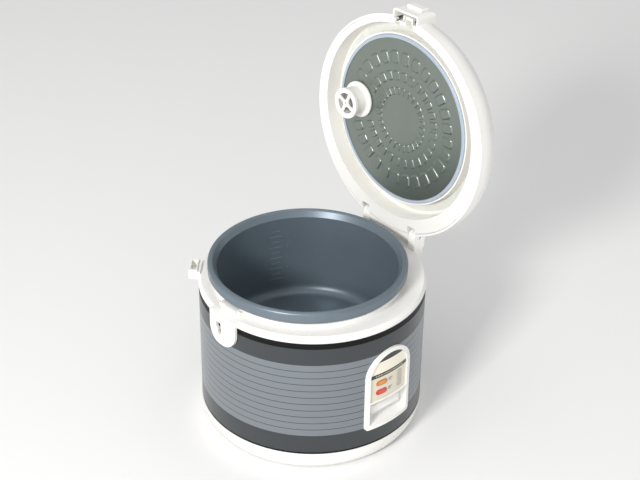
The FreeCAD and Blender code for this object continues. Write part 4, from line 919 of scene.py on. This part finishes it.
@dataclass
class ControlPanel:
    """Arched frame, printed label, lamps, marks and cook key."""

    palette: Palette
    face_radius: float = 133.62 * MM
    crown: float = 140.5 * MM
    strip: tuple[float, float] = (120.0 * MM, 125.2 * MM)
    lamp_x: float = -12.0 * MM
    lamp_heights: tuple[float, float] = (112.0 * MM, 99.4 * MM)
    lamp_half: tuple[float, float] = (7.7 * MM, 3.3 * MM)
    mark_thick: float = 0.12 * MM
    dash_count: int = 12
    dash_pitch: float = 3.6 * MM
    dash_widths: tuple[float, float] = (1.6 * MM, 2.6 * MM)
    dash_height: float = 1.1 * MM
    rule_count: int = 7
    rule_top: float = 116.0 * MM
    rule_pitch: float = 3.4 * MM
    rule_x: float = 16.5 * MM
    rule_widths: tuple[float, float] = (7.0 * MM, 9.0 * MM)
    rule_height: float = 0.7 * MM
    symbols: tuple[tuple[float, float, float], ...] = ((1.2 * MM, 1.4 * MM, 6.0 * MM),
                                                       (0.4 * MM, -1.0 * MM, 4.4 * MM))
    symbol_height: float = 0.8 * MM

    def build(self) -> None:
        """Dress the panel and print its marks."""
        dress(self.palette.white, "control_bezel", "cook_key")
        label = LabelPrint("printed_label", self.crown, self.strip[0], self.strip[1])
        dress(label.material(), "control_label")
        upper, lower = self.lamp_heights
        orange = TintedLens("orange_lens", srgb(201, 108, 32), srgb(240, 170, 80),
                            (self.lamp_x, upper), self.lamp_half)
        red = TintedLens("red_lens", srgb(200, 28, 22), srgb(240, 84, 60),
                         (self.lamp_x, lower), self.lamp_half)
        dress(orange.material(), "warm_lamp_lens")
        dress(red.material(), "cook_lamp_lens")
        ink = MouldedPlastic("label_ink", srgb(60, 55, 52), 0.4).material()
        gold = MouldedPlastic("label_strip_ink", srgb(226, 214, 178), 0.35).material()
        join_piece(self.strip_marks(gold), BodyName.COOKER.value)
        join_piece(self.lamp_marks(ink), BodyName.COOKER.value)

    def tile(self, x: float, z: float, width: float, height: float) -> tuple[list[Vector], list[list[int]]]:
        """Thin curved tile on the label.

        Args:
            x: Centre along X.
            z: Centre height.
            width: Size along X.
            height: Size along Z.

        Returns:
            Its points and faces.
        """
        columns = 4
        points: list[Vector] = []
        for depth in (0.0, self.mark_thick):
            radius = self.face_radius + depth
            for row in (-0.5, 0.5):
                for column in range(columns + 1):
                    place = x + width * (column / columns - 0.5)
                    points.append(Vector((place, -math.sqrt(radius ** 2 - place ** 2), z + row * height)))
        span = columns + 1
        faces = []
        for column in range(columns):
            low = 2 * span + column
            faces.append([low, low + 1, low + span + 1, low + span])
            faces.append([column, column + 1, low + 1, low])
            faces.append([span + column + 1, span + column, low + span, low + span + 1])
        faces.append([0, 2 * span, 3 * span, span])
        faces.append([span - 1, 2 * span - 1, 4 * span - 1, 3 * span - 1])
        return points, faces

    def tiles(self, name: str, layout: Iterable[tuple[float, float, float, float]],
              material: bpy.types.Material) -> bpy.types.Object:
        """One piece of many tiles.

        Args:
            name: The piece's name.
            layout: Centre x, centre z, width and height of each tile in metres.
            material: The ink.

        Returns:
            The piece.
        """
        points: list[Vector] = []
        faces: list[list[int]] = []
        for spot in layout:
            more, corners = self.tile(*spot)
            faces += [[corner + len(points) for corner in face] for face in corners]
            points += more
        return mesh_object(name, points, faces, material)

    def strip_marks(self, material: bpy.types.Material) -> bpy.types.Object:
        """Row of plain dashes in the black strip.

        Args:
            material: The ink.

        Returns:
            The piece.
        """
        middle = sum(self.strip) / 2.0
        half = (self.dash_count - 1) / 2.0
        short, long = self.dash_widths
        row = [((index - half) * self.dash_pitch, middle, long if index % 3 else short, self.dash_height)
               for index in range(self.dash_count)]
        return self.tiles("panel_strip_marks", row, material)

    def lamp_marks(self, material: bpy.types.Material) -> bpy.types.Object:
        """Two plain symbols beside each lamp and a column of short rules.

        Args:
            material: The ink.

        Returns:
            The piece.
        """
        spots = [(x, height + rise, width, self.symbol_height)
                 for height in self.lamp_heights for x, rise, width in self.symbols]
        short, long = self.rule_widths
        for index in range(self.rule_count):
            level = self.rule_top - index * self.rule_pitch
            spots.append((self.rule_x, level, long if index % 2 else short, self.rule_height))
        return self.tiles("panel_lamp_marks", spots, material)


@dataclass
class Lid:
    """Lid shell, liner, pressed inner plate, valve, vent, latch and hinge."""

    palette: Palette
    pivot: Vector = field(default_factory=lambda: Vector((132.7 * MM, 0.0, 205.2 * MM)))
    open_angle: float = math.radians(93.0)
    plate_x: float = -7.3 * MM
    plate_z: float = 201.0 * MM
    valve_x: float = -9.0 * MM
    valve_y: float = 69.6 * MM
    valve_clear: float = 27.0 * MM
    pad_rings: tuple[tuple[float, float], ...] = ((30.0 * MM, 40.0 * MM), (47.0 * MM, 60.0 * MM),
                                                  (66.5 * MM, 84.5 * MM))
    pad_count: int = 28
    pad_fill: float = 0.8
    pad_proud: float = 1.3 * MM
    pad_lift: float = 0.1 * MM
    pad_corner: float = 0.3
    pad_steps: tuple[tuple[float, float], ...] = ((0.45, 0.94), (0.35, 0.9), (0.2, 0.86))

    @property
    def open_place(self) -> Matrix:
        """Matrix from the shut lid to the open lid."""
        return (Matrix.Translation(self.pivot) @ Matrix.Rotation(self.open_angle, 4, "Y")
                @ Matrix.Translation(-self.pivot))

    def build(self) -> None:
        """Dress the lid and press its plate's pads."""
        dress(self.palette.white, "lid_cover", "release_button", "steam_vent_cap")
        dress(self.palette.ivory, "lid_liner", "steam_valve_body", "steam_valve_cap", "latch_hook")
        centre = self.open_place @ Vector((self.plate_x, 0.0, self.plate_z))
        plate = SatinPlate("satin_plate", centre).material()
        dress(plate, "inner_plate")
        silicone = SoftRubber("plate_gasket_silicone", srgb(176, 184, 198), 0.35, 0.1).material()
        dress(silicone, "plate_gasket")
        dress(SoftRubber("pot_seal_silicone", srgb(226, 224, 216), 0.45, 0.1).material(), "pot_seal")
        dress(self.palette.steel, "lid_screws", "hook_pin", "hinge_pin")
        wire = WorkedMetal("spring_wire", srgb(120, 120, 120), 0.3).material()
        dress(wire, "hinge_spring", "button_spring")
        for number, (inner, outer) in enumerate(self.pad_rings, 1):
            join_piece(self.pads(number, inner, outer, plate), BodyName.LID.value)

    def pads(self, number: int, inner: float, outer: float,
             material: bpy.types.Material) -> bpy.types.Object:
        """One ring of rounded pads pressed in the plate.

        Args:
            number: Ring number from the centre.
            inner: Inner end of the pads.
            outer: Outer end of the pads.
            material: The plate's finish.

        Returns:
            The piece.
        """
        made = Field("plate_pads_%d" % number, material)
        middle = (inner + outer) / 2.0
        count = made.size("Count", "Int", self.pad_count)
        radius = made.size("Ring Radius", "Float", middle)
        length = made.size("Pad Length", "Float", outer - inner)
        width = made.size("Pad Width", "Float", math.tau * middle / self.pad_count * self.pad_fill)
        proud = made.size("Proud", "Float", self.pad_proud)
        valve = made.size("Valve Place", "Vector", (self.valve_x - self.plate_x, self.valve_y, 0.0))
        clear = made.size("Valve Clearance", "Float", self.valve_clear)
        ring = made.node("GeometryNodeMeshCircle", None, {"Vertices": count, "Radius": radius}).outputs[0]
        place = made.node("GeometryNodeInputPosition").outputs[0]
        gap = made.node("ShaderNodeVectorMath", {"operation": "DISTANCE"},
                        {0: place, 1: valve}).outputs["Value"]
        near = made.node("FunctionNodeCompare", {"data_type": "FLOAT", "operation": "LESS_THAN"},
                         {"A": gap, "B": clear}).outputs[0]
        kept = made.node("GeometryNodeDeleteGeometry", {"domain": "POINT"},
                         {"Geometry": ring, "Selection": near}).outputs[0]
        outline = made.node("GeometryNodeCurvePrimitiveQuadrilateral", {"mode": "RECTANGLE"},
                            {"Width": length, "Height": width}).outputs[0]
        rounded = made.node("GeometryNodeFilletCurve", {"mode": "POLY"},
                            {"Curve": outline, "Count": 6, "Limit Radius": True,
                             "Radius": made.maths("MULTIPLY", width, self.pad_corner)}).outputs[0]
        pad = made.node("GeometryNodeFillCurve", {"mode": "NGONS"}, {"Curve": rounded}).outputs[0]
        for share, narrow in self.pad_steps:
            raised = made.node("GeometryNodeExtrudeMesh", {"mode": "FACES"},
                               {"Mesh": pad, "Offset": made.vector(0.0, 0.0, -1.0), "Individual": False,
                                "Offset Scale": made.maths("MULTIPLY", proud, share)})
            pad = made.node("GeometryNodeScaleElements", {"domain": "FACE"},
                            {"Geometry": raised.outputs["Mesh"], "Selection": raised.outputs["Top"],
                             "Scale": narrow}).outputs[0]
        turned = made.node("GeometryNodeFlipFaces", None, {"Mesh": pad}).outputs[0]
        facing = made.node("FunctionNodeAlignRotationToVector", {"axis": "X"}, {"Vector": place}).outputs[0]
        pads = made.node("GeometryNodeInstanceOnPoints", None,
                         {"Points": kept, "Instance": turned, "Rotation": facing}).outputs[0]
        shut = Matrix.Translation((self.plate_x, 0.0, self.plate_z + self.pad_lift))
        return made.finish(pads, self.open_place @ shut)


@dataclass
class Works:
    """Heater, sensor, switch, wiring and inlet inside the body."""

    palette: Palette

    def build(self) -> None:
        """Dress every inner piece."""
        sheet = WorkedMetal("galvanised_sheet", srgb(190, 193, 194), 0.3, 1.0, (1.0, 1.0, 1.0)).material()
        dress(sheet, "liner_can", "thermostat_bracket")
        dress(WorkedMetal("cast_aluminium", srgb(176, 178, 178), 0.42, 1.0, (8.0, 8.0, 8.0)).material(),
              "hot_plate", "thermostat_cup")
        dress(self.palette.steel, "hotplate_screws", "sensor_screws", "lever_bracket", "cook_lever",
              "lever_pin", "inlet_screws")
        dress(WorkedMetal("sensor_spring_wire", srgb(128, 128, 128), 0.3).material(), "thermostat_spring")
        dress(WorkedMetal("ferrite", srgb(58, 57, 56), 0.6, 0.4).material(), "magnet_rod")
        dress(WorkedMetal("plated_brass", srgb(206, 186, 128), 0.28).material(),
              "element_terminals", "inlet_pins")
        dress(WorkedMetal("drawn_fuse_can", srgb(200, 200, 200), 0.3).material(), "thermal_fuse")
        dress(WorkedMetal("mica_sleeve", srgb(176, 160, 122), 0.5, 0.5).material(), "keep_warm_band")
        dress(self.palette.black, "micro_switch", "inlet_socket")
        dress(MouldedPlastic("red_plunger", srgb(190, 40, 30), 0.35).material(), "switch_plunger")
        dress(MouldedPlastic("glazed_ceramic", srgb(236, 232, 220), 0.2).material(), "terminal_block")
        dress(MouldedPlastic("phenolic_board", srgb(150, 116, 66), 0.5).material(), "lamp_board")
        dress(MouldedPlastic("lamp_glass", srgb(232, 222, 210), 0.08, coat=0.5).material(), "lamp_bulbs")
        dress(SoftRubber("wire_sleeve", srgb(226, 222, 212), 0.5).material(), "wiring")


# ---------------------------------------------------------------------- studio
@dataclass(frozen=True)
class SoftLight:
    """Square soft light: where it hangs, what it points at, its side, watts and colour."""

    name: str
    place: tuple[float, float, float]
    target: tuple[float, float, float]
    size: float
    power: float
    colour: Colour


@dataclass
class Studio:
    """Floor, lights and camera."""

    backdrop: Colour = srgb(244, 244, 244)
    world_strength: float = 0.6
    floor_reach: float = 6.0
    lights: tuple[SoftLight, ...] = (
        SoftLight("key_light", (-2.45, -0.9, 1.6), (0.0, 0.0, 0.2), 0.6, 64.0, (1.0, 0.99, 0.97)),
        SoftLight("fill_light", (-1.2, -2.2, 1.0), (0.0, 0.0, 0.15), 1.4, 5.0, (0.97, 0.99, 1.0)),
        SoftLight("top_light", (0.1, 0.1, 2.8), (0.0, 0.0, 0.2), 1.8, 10.0, (1.0, 1.0, 1.0)))
    camera_place: Vector = field(default_factory=lambda: Vector((-0.99018, -1.09971, 1.1374)))
    aim: tuple[float, float] = (math.radians(31.3716), math.radians(42.3229))
    roll: float = math.radians(0.78441)
    lens: float = 84.463

    def build(self) -> None:
        """Set up the whole studio."""
        self.floor()
        self.world()
        for light in self.lights:
            self.area(light)
        self.camera()

    def floor(self) -> None:
        """Plain pale floor."""
        signs = ((-1, -1), (1, -1), (1, 1), (-1, 1))
        corners = [(x * self.floor_reach, y * self.floor_reach, 0.0) for x, y in signs]
        finish = Stage("studio_floor", self.backdrop).material()
        mesh_object("studio_floor", corners, [(0, 1, 2, 3)], finish)

    def world(self) -> None:
        """Even light from all round."""
        world = bpy.data.worlds.new("studio")
        bpy.context.scene.world = world
        world.use_nodes = True
        back = world.node_tree.nodes["Background"]
        back.inputs["Color"].default_value = (*self.backdrop, 1.0)
        back.inputs["Strength"].default_value = self.world_strength

    def area(self, spec: SoftLight) -> None:
        """Add a square soft light.

        Args:
            spec: What the light is and where it goes.
        """
        light = bpy.data.lights.new(spec.name, "AREA")
        light.size = spec.size
        light.energy = spec.power
        light.color = spec.colour
        lamp = bpy.data.objects.new(spec.name, light)
        lamp.location = spec.place
        direction = Vector(spec.target) - Vector(spec.place)
        lamp.rotation_euler = direction.to_track_quat("-Z", "Y").to_euler()
        bpy.context.scene.collection.objects.link(lamp)

    def camera(self) -> None:
        """Place the camera."""
        down, turn = self.aim
        forward = Vector((math.cos(down) * math.sin(turn), math.cos(down) * math.cos(turn), -math.sin(down)))
        right = forward.cross(Vector((0.0, 0.0, 1.0))).normalized()
        above = right.cross(forward)
        across = math.cos(self.roll) * right + math.sin(self.roll) * above
        upward = -math.sin(self.roll) * right + math.cos(self.roll) * above
        data = bpy.data.cameras.new("camera")
        data.lens = self.lens
        data.sensor_width = 36.0
        eye = bpy.data.objects.new("camera", data)
        turned = Matrix((across, upward, -forward)).transposed().to_4x4()
        eye.matrix_world = Matrix.Translation(self.camera_place) @ turned
        bpy.context.scene.collection.objects.link(eye)
        bpy.context.scene.camera = eye


def main() -> None:
    """Build every assembly in order."""
    logging.basicConfig(level=logging.INFO, format="%(name)s %(message)s")
    bpy.context.scene.view_settings.view_transform = "Standard"
    palette = Palette()
    for assembly in (Housing(palette), Pot(), ControlPanel(palette), Lid(palette), Works(palette), Studio()):
        log.info("building %s", type(assembly).__name__)
        assembly.build()


if __name__ == "__main__":
    main()
